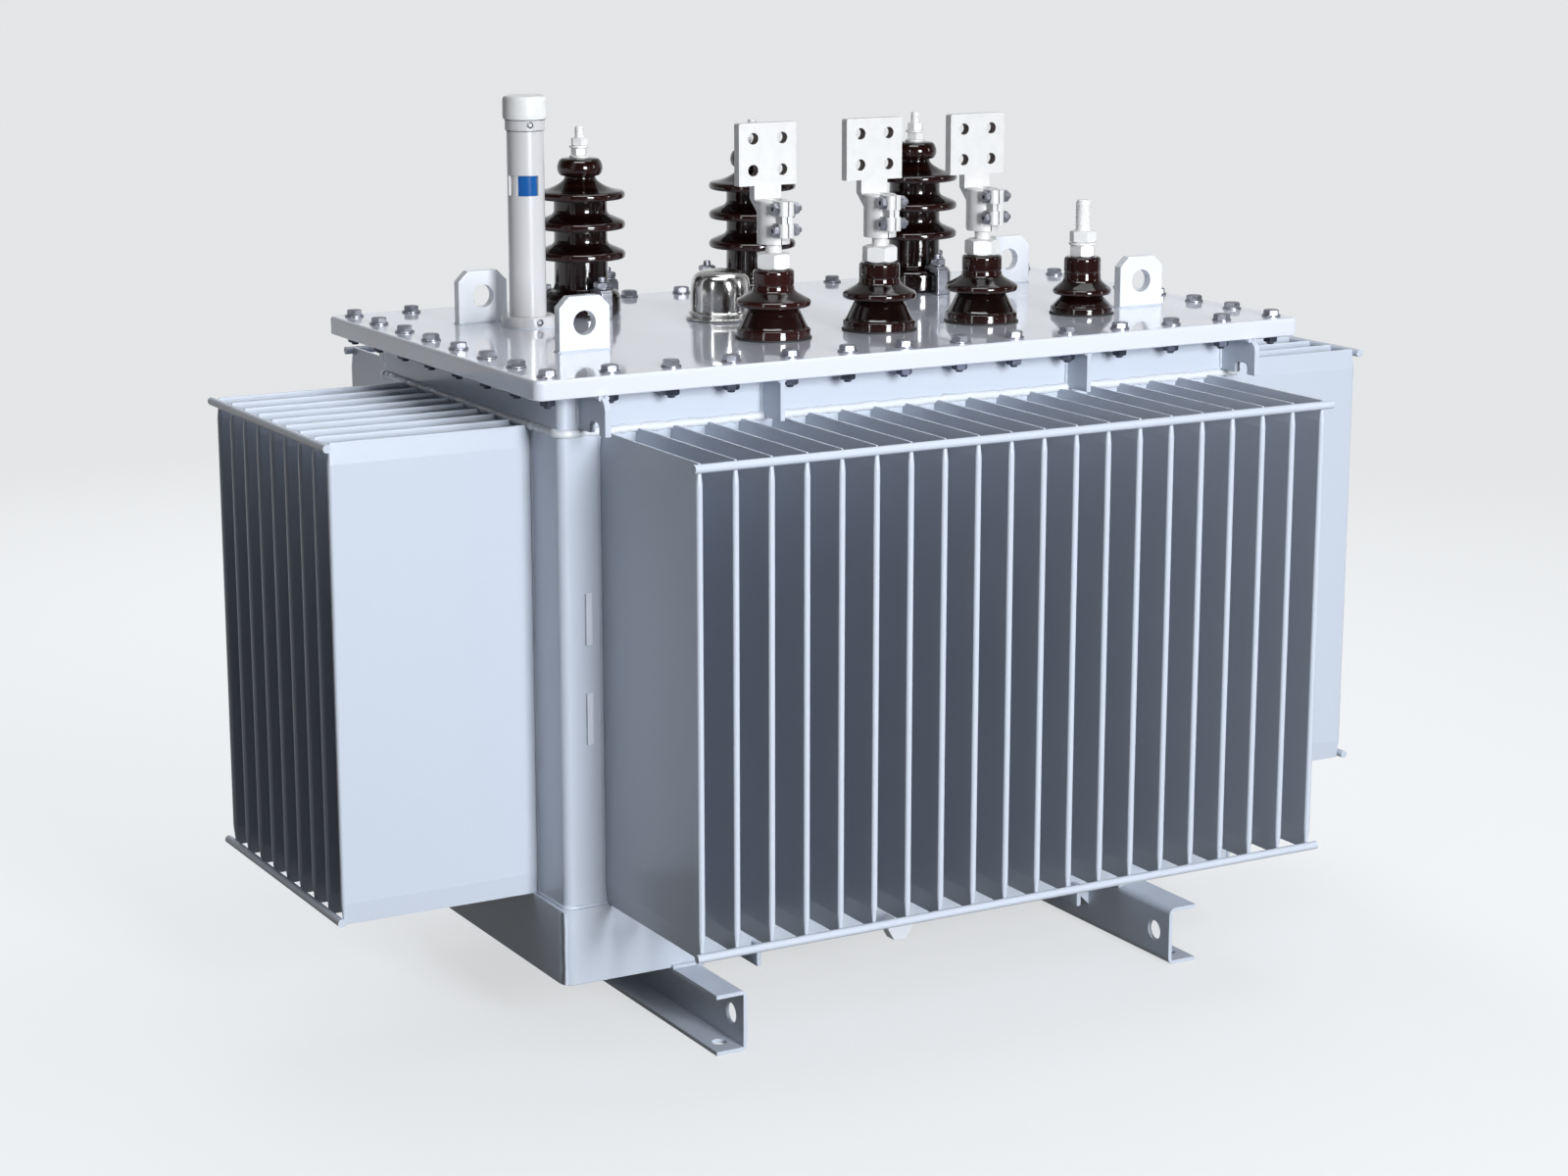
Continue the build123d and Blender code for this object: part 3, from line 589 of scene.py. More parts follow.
def fastener_tree():
    """Sets a fastener on each point along its aim, each at its own turn."""
    tree, given = new_tree(
        "fasteners_on_points", Fastener="Object", Turn="Float", Seed="Int", Finish="Material"
    )
    shape = add_node(tree, "GeometryNodeObjectInfo", Object=given["Fastener"])
    aim = add_node(
        tree, "GeometryNodeInputNamedAttribute", {"data_type": "FLOAT_VECTOR"}, Name="aim"
    )
    aligned = add_node(
        tree, "FunctionNodeAlignRotationToVector", {"axis": "Z"}, Vector=aim.outputs["Attribute"]
    )
    turn = add_node(
        tree, "FunctionNodeRandomValue", {"data_type": "FLOAT"},
        Max=given["Turn"], Seed=given["Seed"],
    )
    turned = [s for s in turn.outputs if s.enabled][0]
    spin = add_node(tree, "FunctionNodeAxisAngleToRotation", Angle=turned)
    whole = add_node(
        tree, "FunctionNodeRotateRotation", {"rotation_space": "LOCAL"},
        Rotation=aligned.outputs["Rotation"], Rotate_By=spin.outputs["Rotation"],
    )
    placed = add_node(
        tree, "GeometryNodeInstanceOnPoints", Points=given["Geometry"],
        Instance=shape.outputs["Geometry"], Rotation=whole.outputs["Rotation"],
    )
    return end_tree(tree, placed.outputs["Instances"], given["Finish"])


def weld_tree():
    """Lays a rippled, slightly wandering bead along each line."""
    stray_cells, lump_cells, vectors = 38.0, 160.0, "ShaderNodeVectorMath"
    tree, given = new_tree(
        "weld_beads_on_lines",
        Bead="Float", Ripple="Float", Wander="Float", Seed="Int", Finish="Material",
    )
    curve = add_node(tree, "GeometryNodeMeshToCurve", Mesh=given["Geometry"])
    dense = add_node(
        tree, "GeometryNodeResampleCurve", {"mode": "LENGTH"},
        Curve=curve.outputs["Curve"], Length=given["Ripple"],
    )
    place = add_node(tree, "GeometryNodeInputPosition")
    shifted = compute(tree, "ADD", place.outputs["Position"], given["Seed"], vectors)
    stray = add_node(tree, "ShaderNodeTexNoise", Vector=shifted, Scale=stray_cells, Detail=2.0)
    centred = compute(tree, "SUBTRACT", stray.outputs["Color"], (0.5, 0.5, 0.5), vectors)
    moved = add_node(
        tree, "GeometryNodeSetPosition", Geometry=dense.outputs["Curve"],
        Offset=compute(tree, "SCALE", centred, given["Wander"], vectors),
    )
    lumps = add_node(tree, "ShaderNodeTexNoise", Vector=shifted, Scale=lump_cells, Detail=1.0)
    swell = add_node(
        tree, "ShaderNodeMapRange", Value=lumps.outputs["Fac"], To_Min=0.55, To_Max=1.45
    )
    profile = add_node(
        tree, "GeometryNodeCurvePrimitiveCircle", Resolution=8, Radius=given["Bead"]
    )
    bead = add_node(
        tree, "GeometryNodeCurveToMesh", Curve=moved.outputs["Geometry"],
        Profile_Curve=profile.outputs["Curve"], Scale=swell.outputs["Result"], Fill_Caps=True,
    )
    return end_tree(tree, bead.outputs["Mesh"], given["Finish"])


TREES = {}


def run_tree(piece, maker, values, angle):
    """Runs a tree on a piece with its named inputs set, and keeps the plain mesh."""
    if maker not in TREES:
        TREES[maker] = maker()
    modifier = piece.modifiers.new("Nodes", "NODES")
    modifier.node_group = TREES[maker]
    for item in TREES[maker].interface.items_tree:
        if item.in_out == "INPUT" and item.name in values:
            modifier[item.identifier] = values[item.name]
    plain_mesh(piece)
    shade(piece.data, angle)


def fasten(name, places, shape, finish, seed):
    """Repeats one fastener shape on (place, aim) pairs with the fastener tree."""
    points = bpy.data.meshes.new(name)
    points.from_pydata([place for place, aim in places], [], [])
    aims = points.attributes.new("aim", "FLOAT_VECTOR", "POINT")
    for index, (place, aim) in enumerate(places):
        aims.data[index].vector = aim
    piece = link(name, points)
    bmesh.ops.recalc_face_normals(shape, faces=shape.faces)
    pattern = object_of(shape, "fastener_pattern")
    pattern_mesh = pattern.data
    values = {"Fastener": pattern, "Turn": math.tau, "Seed": seed, "Finish": FINISHES[finish]}
    run_tree(piece, fastener_tree, values, 35)
    bpy.data.objects.remove(pattern)
    bpy.data.meshes.remove(pattern_mesh)
    seat(piece)


def weld(name, lines, settings, bead, wander=1.0, finish="paint"):
    """Beads along polylines of points in metres; bead and wander are shares of the settings."""
    verts, edges = [], []
    for line in lines:
        start = len(verts)
        verts += line
        edges += [(start + i, start + i + 1) for i in range(len(line) - 1)]
    data = bpy.data.meshes.new(name)
    data.from_pydata(verts, edges, [])
    piece = link(name, data)
    values = {
        "Bead": settings.bead * bead,
        "Ripple": settings.ripple,
        "Wander": settings.wander * wander,
        "Seed": settings.seed,
        "Finish": FINISHES[finish],
    }
    run_tree(piece, weld_tree, values, 80)
    seat(piece)


# Painted steel
EDGES = {  # Width in metres of each painted piece's softened edges
    "tank_tray": 0.0012,
    "corner_posts": 0.0008,
    "upper_band": 0.0008,
    "left_rail": 0.0008,
    "right_rail": 0.0008,
    "rail_gussets": 0.0007,
    "jacking_plates": 0.0007,
    "lifting_hooks": 0.0010,
    "band_stiffeners": 0.0007,
}


class TRANSFORMER_OT_paint_tank(bpy.types.Operator):
    """Paint the tank, its corrugated walls and its small painted parts"""

    bl_idname = "transformer.paint_tank"
    bl_label = "Paint the tank"

    def execute(self, context):
        make_finishes(context.scene.transformer_finish)
        for side in ("front", "back", "left", "right"):
            dress(f"{side}_wall", "sheet_paint")
            dress(f"{side}_tie_rods", "paint")
        for node, finish in (
            ("gauge_base", "gauge_paint"),
            ("gauge_tube", "gauge_paint"),
            ("core_and_oil", "hidden"),
            ("cover_gasket", "rubber"),
            ("tank_flange", "paint"),
        ):
            dress(node, finish)
        # The cover takes the paler paint that carries painted light.
        edged_copy("cover", "cover_paint", 0.0020)
        for node, edge in EDGES.items():
            edged_copy(node, "paint", edge)
        # The drain valve and the lugs take the paler paint, which carries painted light.
        edged_copy("drain_valve", "pale_paint", 0.0008)
        for lug in LUGS:
            edged_copy(lug, "pale_paint", 0.0014)
        return {"FINISHED"}


def loop_round(z):
    """A closed line round the tank, with rounded corners."""
    radius = 0.01
    points = []
    for turn, (sx, sy) in enumerate(((1, -1), (1, 1), (-1, 1), (-1, -1))):
        centre = Vector((sx * (TANK.x - radius), sy * (TANK.y - radius), z))
        for step in range(5):
            angle = math.radians(-90 + 90 * turn + 90 * step / 4)
            points.append(centre + Vector((math.cos(angle), math.sin(angle), 0)) * radius)
    points.append(points[0])
    return points


class TRANSFORMER_OT_lay_welds(bpy.types.Operator):
    """Lay the weld beads that join the sheets, plates, hooks and lugs"""

    bl_idname = "transformer.lay_welds"
    bl_label = "Lay the welds"

    def execute(self, context):
        make_finishes(context.scene.transformer_finish)
        settings = context.scene.transformer_welds
        # The top weld's paler paint is a painted highlight along the bead.
        weld("wall_top_weld", [loop_round(BAND_LOW)], settings, 1.9, 2.0, "pale_paint")
        weld("tray_top_weld", [loop_round(TRAY.z + 0.001)], settings, 0.9)
        weld("tray_corner_welds", self.tray_corners(), settings, 0.8)
        weld("wall_side_welds", self.wall_sides(), settings, 0.55, 0.6)
        weld("hook_and_rib_welds", self.hooks_and_ribs(), settings, 1.0, 1.2)
        weld("lug_welds", self.lugs(), settings, 0.75, 0.5)
        weld("gauge_base_weld", self.gauge_foot(), settings, 0.5, 0.3)
        weld("rail_welds", self.rails(), settings, 1.5, 2.0)
        return {"FINISHED"}

    def tray_corners(self):
        x, y = TRAY.x - 0.003, TRAY.y - 0.003
        heights = (TRAY_LOW + 0.002, TRAY.z - 0.002)
        return [[(sx * x, sy * y, z) for z in heights] for sx, sy in CORNERS]

    def wall_sides(self):
        sides = ((corner("front_wall", 1).x, TANK.y), (TANK.x, corner("left_wall", 1).y))
        return [
            [(sx * x, sy * y, z) for z in (TRAY.z, BAND_LOW)]
            for sx, sy in CORNERS
            for x, y in sides
        ]

    def hooks_and_ribs(self):
        """Up both sides of each plate, then out under the flange."""
        hook_half, rib_half, top = 0.004, 0.003, BAND_TOP - 0.001
        hook_low, hook_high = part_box("lifting_hooks")
        rib_low, rib_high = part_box("band_stiffeners")
        lines = []
        for x, half, low, reach in (
            (hook_high.x - hook_half, hook_half, hook_low.z + 0.002, 0.06),
            (rib_high.x - rib_half, rib_half, rib_low.z, 0.044),
        ):
            for sx, sy in CORNERS:
                for edge_x in (sx * x - half, sx * x + half):
                    run = ((TANK.y, low), (TANK.y, top), (TANK.y + reach, top))
                    lines.append([(edge_x, sy * y, z) for y, z in run])
        return lines

    def lugs(self):
        lines = []
        for lug in LUGS:
            low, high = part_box(lug)
            points = [(low.x, low.y), (high.x, low.y), (high.x, high.y), (low.x, high.y)]
            lines.append([(x, y, COVER_TOP) for x, y in (*points, points[0])])
        return lines

    def gauge_foot(self):
        foot = middle("gauge_base")
        radius = corner("gauge_base", 1).x - foot.x
        ring = [(foot.x + x, foot.y + y, z) for x, y, z in circle(radius, COVER_TOP, 40)]
        return [[*ring, ring[0]]]

    def rails(self):
        over = 0.001
        lines = []
        for rail in ("left_rail", "right_rail"):
            low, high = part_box(rail)
            for y in (-TRAY.y, TRAY.y):
                lines.append([(x, y, TRAY_LOW) for x in (low.x - over, high.x + over)])
        return lines


class TRANSFORMER_OT_add_post_strips(bpy.types.Operator):
    """Add the two thin raised strips on the front left corner post"""

    bl_idname = "transformer.add_post_strips"
    bl_label = "Add the post strips"

    def execute(self, context):
        make_finishes(context.scene.transformer_finish)
        bm = bmesh.new()
        from_edge, half, proud, sunk = 0.0335, 0.004, 0.0038, 0.0002
        x = -TANK.x + from_edge
        for low, high in ((0.366, 0.428), (0.485, 0.547)):
            outline = ((-half, low), (half, low), (half, high), (-half, high))
            skin(bm, [
                ring_of(bm, [(x + px, y, pz) for px, pz in outline])
                for y in (-TANK.y + sunk, -TANK.y - proud)
            ])
        # The strips take the cover's paler paint as painted light.
        piece_from(bm, "post_strips", "cover_paint", edge=0.0009)
        return {"FINISHED"}


# Fasteners
def bolt_head(washer, width, heights, hole=0.0):
    """A head on a washer in metres; heights are the tops of the two."""
    washer_top, head_top = heights
    bm = bmesh.new()
    disc(bm, washer, 0, washer_top)
    hexagon(bm, width, washer_top, head_top, hole=hole, flat_foot=True)
    return bm


def threaded_nut(washer, width, stud, heights, pitch=0.0015):
    """A washer, a nut and a stud's end in metres; heights are the tops of the three."""
    washer_top, nut_top, end = heights
    bm = bmesh.new()
    disc(bm, washer, 0, washer_top)
    hexagon(bm, width, washer_top, nut_top)
    thread(bm, stud, nut_top, end, pitch, segments=16)
    return bm


def cover_bolt_places(settings, z):
    high = corner("cover", 1)
    x = high.x - settings.edge_inset
    y = high.y - settings.edge_inset
    places = []
    for step in range(settings.long_side):
        along = -x + 2 * x * step / (settings.long_side - 1)
        places += [(along, -y, z), (along, y, z)]
    for step in range(1, settings.short_side - 1):
        along = -y + 2 * y * step / (settings.short_side - 1)
        places += [(-x, along, z), (x, along, z)]
    return places


class TRANSFORMER_OT_bolt_cover(bpy.types.Operator):
    """Bolt the cover down round its edge"""

    bl_idname = "transformer.bolt_cover"
    bl_label = "Bolt the cover"

    def execute(self, context):
        make_finishes(context.scene.transformer_finish)
        settings = context.scene.transformer_fasteners
        width, radius, seed = settings.head_width, settings.washer_radius, settings.seed
        washer = 0.0022
        bolt = bolt_head(radius, width, (washer, washer + settings.head_height))
        nut = threaded_nut(radius, width - 0.001, 0.005, (0.0016, 0.0096, 0.0126))
        tops = [(place, UP) for place in cover_bolt_places(settings, COVER_TOP)]
        undersides = [(place, DOWN) for place in cover_bolt_places(settings, BAND_TOP)]
        fasten("cover_bolts", tops, bolt, "zinc", seed)
        # The nuts under the flange take the zinc that carries painted shade.
        fasten("cover_nuts", undersides, nut, "dull_zinc", seed + 1)
        return {"FINISHED"}


# Bushings
def thin_at(rims):
    """How thin the glaze lies at a radius in millimetres: most at the sheds' rims."""
    least, gain, fade = 0.05, 0.75, 5.0

    def measure(r):
        return least + gain * max(0.0, 1 - min(abs(r - rim) for rim in rims) / fade)

    return measure


def glazed_body(name, node, profile, rims, finish):
    """A turned porcelain body in place of its CAD node."""
    bm = bmesh.new()
    bm.verts.layers.float.new("thinness")
    lathe(bm, profile, at(middle(node), COVER_TOP), 72, thin_at(rims))
    piece_from(bm, name, finish, (node,), angle=60)


# Turned profiles of (radius, height, fillet) in millimetres
HIGH_SHEDS = (71, 109, 147)


def high_profile():
    """The high-voltage body, from its base to its beaded head."""
    profile = [
        (0, 0, 0), (48, 0, 1.5), (50, 2.5, 2), (50, 25, 5), (44, 31, 4), (36, 32, 3), (34.5, 38, 5),
    ]
    for low in HIGH_SHEDS:
        profile += [
            (34, low + 1, 4), (50, low + 1.5, 2), (53, low, 1.5),
            (57, low + 1.5, 4), (57, low + 9.5, 5),
        ]
        if low != HIGH_SHEDS[-1]:
            profile += [(44, low + 15, 6), (34, low + 19, 6)]
    return profile + [
        (38, 160, 10), (22, 169, 9), (19, 176, 5), (26, 176.5, 5), (29, 183, 6), (29, 190, 6),
        (25, 198, 4), (15, 199, 1), (0, 199, 0),
    ]


LOW_PROFILE = [
    (0, 0, 0), (43.5, 0, 1.5), (45, 1.5, 1.5), (45, 12, 2.5), (42.4, 13.6, 1.2), (40.5, 16, 2),
    (31.5, 35, 4), (28.5, 39, 2), (30, 40, 1), (41, 40, 2), (43, 39, 1.5), (45.5, 41, 3),
    (45.5, 47, 4), (34, 53, 8), (25.5, 58, 4), (25, 64, 2), (24.2, 65, 1), (25, 66, 2),
    (25, 82, 3), (22, 84, 1), (0, 84, 0),
]
NEUTRAL_PROFILE = [
    (0, 0, 0), (38.5, 0, 1.5), (40, 1.5, 1.5), (40, 9, 2.2), (37.6, 10.4, 1), (36, 12.5, 2),
    (27, 22, 3), (24.5, 26, 2), (26, 26.5, 1), (34, 26, 2), (35.5, 25, 1.5), (37.5, 27, 3),
    (37.5, 31.5, 3), (29, 38, 6), (24, 43, 3), (23.5, 52, 2), (22.8, 53, 1), (23.5, 54, 2),
    (23.5, 71, 3), (20.5, 73, 1), (0, 73, 0),
]
NUMBERS = (1, 2, 3)


class TRANSFORMER_OT_fit_bushings(bpy.types.Operator):
    """Fit the glazed porcelain bodies and their seals"""

    bl_idname = "transformer.fit_bushings"
    bl_label = "Fit the bushings"

    def execute(self, context):
        make_finishes(context.scene.transformer_finish)
        for number in NUMBERS:
            high, low = f"hv_porcelain_{number}", f"lv_porcelain_{number}"
            glazed_body(f"hv_bushing_{number}", high, high_profile(), (57, 29), "glaze")
            finish = "red_glaze" if number == 1 else "glaze"
            glazed_body(f"lv_bushing_{number}", low, LOW_PROFILE, (45.5, 25), finish)
        glazed_body(
            "neutral_bushing", "neutral_porcelain", NEUTRAL_PROFILE, (37.5, 23.5), "glaze"
        )
        reach, thickness = 1.2, 2.2
        bm = bmesh.new()
        for node in (*(f"lv_porcelain_{number}" for number in NUMBERS), "neutral_porcelain"):
            low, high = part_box(node)
            radius = (high.x - low.x) / 2 / MM + reach
            profile = [(0, 0, 0), (radius, 0, 0.5), (radius, thickness, 0.8), (0, thickness, 0)]
            lathe(bm, profile, at(middle(node), COVER_TOP), 56)
        piece_from(bm, "bushing_seals", "rubber")
        return {"FINISHED"}


class TRANSFORMER_OT_fit_studs(bpy.types.Operator):
    """Fit the threaded studs, nuts and washers on the bushings"""

    bl_idname = "transformer.fit_studs"
    bl_label = "Fit the studs"

    def execute(self, context):
        make_finishes(context.scene.transformer_finish)
        bm = bmesh.new()
        for number in NUMBERS:
            node = f"hv_porcelain_{number}"
            place, z = middle(node), corner(node, 1).z
            for low, turn in ((0, 0.2 * number), (0.0125, 0.5 + 0.3 * number)):
                disc(bm, 0.013, low, low + 0.0025, at(place, z))
                hexagon(bm, 0.019, low + 0.0025, low + 0.0125, at(place, z, turn))
            thread(bm, 0.006, 0.025, 0.039, 0.00175, at(place, z))
        piece_from(bm, "hv_studs", "tin", ("hv_terminals",))
        bm = bmesh.new()
        nodes = [f"lv_stud_{number}" for number in NUMBERS]
        for number, node in zip(NUMBERS, nodes):
            low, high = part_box(node)
            here = at(middle(node), low.z, 0.35 + 0.22 * number)
            hexagon(bm, 0.038, 0, 0.020, here)
            thread(bm, 0.010, 0.020, high.z - low.z, 0.0025, here, 32)
        piece_from(bm, "lv_studs", "tin", nodes)
        bm = bmesh.new()
        low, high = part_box("neutral_stud")
        place = middle("neutral_stud")
        hexagon(bm, 0.030, 0, 0.015, at(place, low.z, 0.3))
        disc(bm, 0.018, 0.015, 0.018, at(place, low.z), 40)
        hexagon(bm, 0.030, 0.018, 0.033, at(place, low.z, 0.75))
        thread(bm, 0.010, 0.033, high.z - low.z, 0.0025, at(place, low.z), 32)
        piece_from(bm, "neutral_terminal", "tin", ("neutral_stud",))
        return {"FINISHED"}


class TRANSFORMER_OT_fit_claws(bpy.types.Operator):
    """Fit the claws that hold the high-voltage bushings down"""

    bl_idname = "transformer.fit_claws"
    bl_label = "Fit the claws"

    def execute(self, context):
        make_finishes(context.scene.transformer_finish)
        inner, outer, stud_r, half_width = 0.0503, 0.0743, 0.0598, 0.008
        finger, foot, low, high = 0.011, 0.005, 0.0313, 0.0383
        side = [
            (inner - finger, low), (inner + 0.001, low), (inner + 0.003, low - 0.003),
            (outer - foot - 0.005, low - 0.003), (outer - foot, low - 0.008), (outer - foot, 0.0),
            (outer, 0.0), (outer, high - 0.005), (outer - 0.004, high - 0.001),
            (inner + 0.004, high), (inner - finger, high - 0.002),
        ]
        bm = bmesh.new()
        studs = []
        for number in NUMBERS:
            for turn in (-90, 30, 150):
                here = at(middle(f"hv_porcelain_{number}"), COVER_TOP, math.radians(turn))
                skin(bm, [
                    ring_of(bm, [(r, y, z) for r, z in side], here)
                    for y in (-half_width, half_width)
                ])
                studs.append((here @ Vector((stud_r, 0, high)), UP))
        piece_from(bm, "hv_claws", "zinc", ("hv_clamps",), edge=0.0012)
        nut = threaded_nut(0.0105, 0.019, 0.005, (0.0015, 0.0085, 0.0146))
        fasten("claw_nuts", studs, nut, "zinc", 5)
        return {"FINISHED"}


class TRANSFORMER_OT_fit_flags(bpy.types.Operator):
    """Fit the connection plates and the bolts of their clamps"""

    bl_idname = "transformer.fit_flags"
    bl_label = "Fit the connection plates"

    def execute(self, context):
        make_finishes(context.scene.transformer_finish)
        half, before, half_flag = 0.010, 0.0275, 0.0375
        heads, nuts = [], []
        for number in NUMBERS:
            node = f"flag_terminal_{number}"
            low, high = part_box(node)
            place = middle(f"lv_stud_{number}")
            # The plates take the darker tin that carries painted shade.
            flag = edged_copy(node, "plate", 0.0011)
            # Painted shade on the walls of the plate's holes.
            self.darken_bores(flag, place.x, high.z - half_flag)
            for level in (low.z + 0.018, low.z + 0.044):
                heads.append(((place.x - half, place.y - before, level), LEFT))
                nuts.append(((place.x + half, place.y - before, level), RIGHT))
        head = bolt_head(0.0078, 0.013, (0.0015, 0.0070), hole=0.0030)
        nut = threaded_nut(0.0078, 0.013, 0.004, (0.0015, 0.0080, 0.0120), 0.00125)
        fasten("clamp_bolt_heads", heads, head, "zinc", 11)
        fasten("clamp_nuts", nuts, nut, "zinc", 12)
        return {"FINISHED"}

    def darken_bores(self, flag, x, z):
        """Gives the walls of the four holes round (x, z) a bare-copper finish, darkened far past
        copper as painted shade inside the holes.
        """
        across, up, within = 0.020, 0.019, 0.0073
        flag.data.materials.append(FINISHES["bore"])
        for face in flag.data.polygons:
            away = (abs(face.center.x - x) - across, abs(face.center.z - z) - up)
            if math.hypot(*away) < within and abs(face.normal.y) < 0.5:
                face.material_index = 1


# Gauge and dome
class TRANSFORMER_OT_fit_gauge(bpy.types.Operator):
    """Fit the level gauge's cap, float and set screws"""

    bl_idname = "transformer.fit_gauge"
    bl_label = "Fit the level gauge"

    def execute(self, context):
        make_finishes(context.scene.transformer_finish)
        dress("gauge_float", "blue")
        place, tube = middle("gauge_cap"), corner("gauge_tube", 1)
        bm = bmesh.new()
        cap = [
            (0, 0, 0), (26.4, 0, 0.8), (27.2, 1.5, 0.8), (27.5, 6, 1), (27.5, 25, 3), (26, 28, 2),
            (23, 29, 1.5), (21, 28.5, 1), (0, 28.5, 0),
        ]
        lathe(bm, cap, at(place, corner("gauge_cap", 0).z), 64)
        piece_from(bm, "gauge_white_cap", "white", ("gauge_cap",), angle=50)
        front = corner("gauge_base", 0).y + 0.0004
        tube_front = place.y - (tube.x - place.x) + 0.0012
        screw = bmesh.new()
        hexagon(screw, 0.008, -0.004, 0.0012, hole=0.0022, flat_foot=True)
        places = [
            ((place.x + 0.0005, front, COVER_TOP + 0.0075), FRONT),
            ((place.x - 0.004, tube_front, tube.z - 0.0060), FRONT),
        ]
        fasten("gauge_set_screws", places, screw, "dark_steel", 2)
        # A painted highlight: a white strip stands for the glare on the gauge's glass tube.
        self.add_scale_strip(place, tube.z - 0.093)
        bm = bmesh.new()
        inner, high = 22.6, 0.9
        for radius, level in ((25.3, -0.9), (23.35, -14.2)):
            seam = [(inner, 0, 0), (radius, 0, 0.2), (radius, high, 0.2), (inner, high, 0)]
            lathe(bm, seam, at(place, tube.z + level * MM), 56)
        piece_from(bm, "gauge_seams", "rubber")
        return {"FINISHED"}

    def add_scale_strip(self, place, low):
        """A white strip inside the tube, beside the float in the window, as a painted highlight for
        the glare on the gauge's glass tube.
        """
        inner, outer, high = 19.75, 19.95, low + 0.034
        turns = [math.radians(turn) for turn in range(-184, -143, 2)]
        bm = bmesh.new()
        rings = [
            ring_of(bm, [
                (place.x + r * MM * math.cos(turn), place.y + r * MM * math.sin(turn), z)
                for turn in turns
            ])
            for r, z in ((inner, low), (outer, low), (outer, high), (inner, high))
        ]
        for first, second in zip(rings, [*rings[1:], rings[0]]):
            for step in range(len(turns) - 1):
                bm.faces.new((first[step], first[step + 1], second[step + 1], second[step]))
        for step in (0, -1):
            bm.faces.new([ring[step] for ring in rings])
        piece_from(bm, "gauge_white_strip", "white", angle=50)


class TRANSFORMER_OT_fit_dome(bpy.types.Operator):
    """Fit the polished vent dome"""

    bl_idname = "transformer.fit_dome"
    bl_label = "Fit the vent dome"

    def execute(self, context):
        make_finishes(context.scene.transformer_finish)
        bm = bmesh.new()
        dome = [
            (0, 0, 0), (43.5, 0, 1), (44.5, 1.2, 0.8), (44.5, 3.2, 0.8), (43, 4.2, 0.8),
            (40, 4.6, 1), (39.6, 6.5, 1), (41.2, 7.5, 0.8), (41.4, 9.4, 0.8), (39.5, 10.4, 1),
            (38, 11.5, 1.5), (38, 44, 12), (34, 57, 12), (20, 62.6, 12), (0, 63, 0),
        ]
        lathe(bm, dome, at(middle("vent_dome"), COVER_TOP), 80)
        piece_from(bm, "polished_dome", "steel", ("vent_dome",), angle=60)
        return {"FINISHED"}


# Stage
PALE = (0.965, 0.982, 1.0, 1.0)
LIGHT = (0.95, 0.975, 1.0)
CAMERA_PLACE = (-2.0212, -3.5025, 1.3627)
CAMERA_DOWN, CAMERA_TURN = 12.69, -0.5143
# Name, place, width, height and share of the key light's power
LIGHTS = (
    ("key", (-0.07, -5.0, 1.75), 1.3, 1.8, 1.0),
    ("top", (0.9, 0.0, 4.2), 2.4, 2.2, 0.11),
    ("rear", (0.8, 4.8, 2.2), 3.0, 2.0, 0.7),
    ("left_strip", (-4.2, -2.4, 1.9), 0.35, 1.8, 0.06),
    ("right_strip", (3.9, -3.0, 2.1), 0.35, 1.8, 0.06),
    ("upper_strip", (-0.9, -1.2, 3.6), 2.4, 1.0, 0.2),
)


def pick(tree, factor, first, second):
    """The first number, or the second where the factor is one."""
    node = tree.nodes.new("ShaderNodeMix")
    for index, value in ((0, factor), (2, first), (3, second)):
        feed(tree, node.inputs[index], value)
    return node.outputs[0]


def separate(tree, source):
    """The X, Y and Z of a texture coordinate."""
    place = add_node(tree, "ShaderNodeTexCoord").outputs[source]
    return add_node(tree, "ShaderNodeSeparateXYZ", Vector=place).outputs


def mirrored_ray(tree):
    """One for rays that meet a surface in a reflection or through glass, else nothing."""
    rays = tree.nodes.new("ShaderNodeLightPath").outputs
    return compute(tree, "MAXIMUM", rays["Is Glossy Ray"], rays["Is Transmission Ray"])


def camera_ray(tree):
    return tree.nodes.new("ShaderNodeLightPath").outputs["Is Camera Ray"]


def emission(tree, strength):
    return add_node(tree, "ShaderNodeEmission", Color=PALE, Strength=strength).outputs[0]


def join_shaders(tree, kind, *sources):
    """Adds two shaders, or mixes two by the factor that comes before them."""
    node = tree.nodes.new(kind)
    for source, socket in zip(sources, node.inputs):
        tree.links.new(source, socket)
    return node.outputs[0]


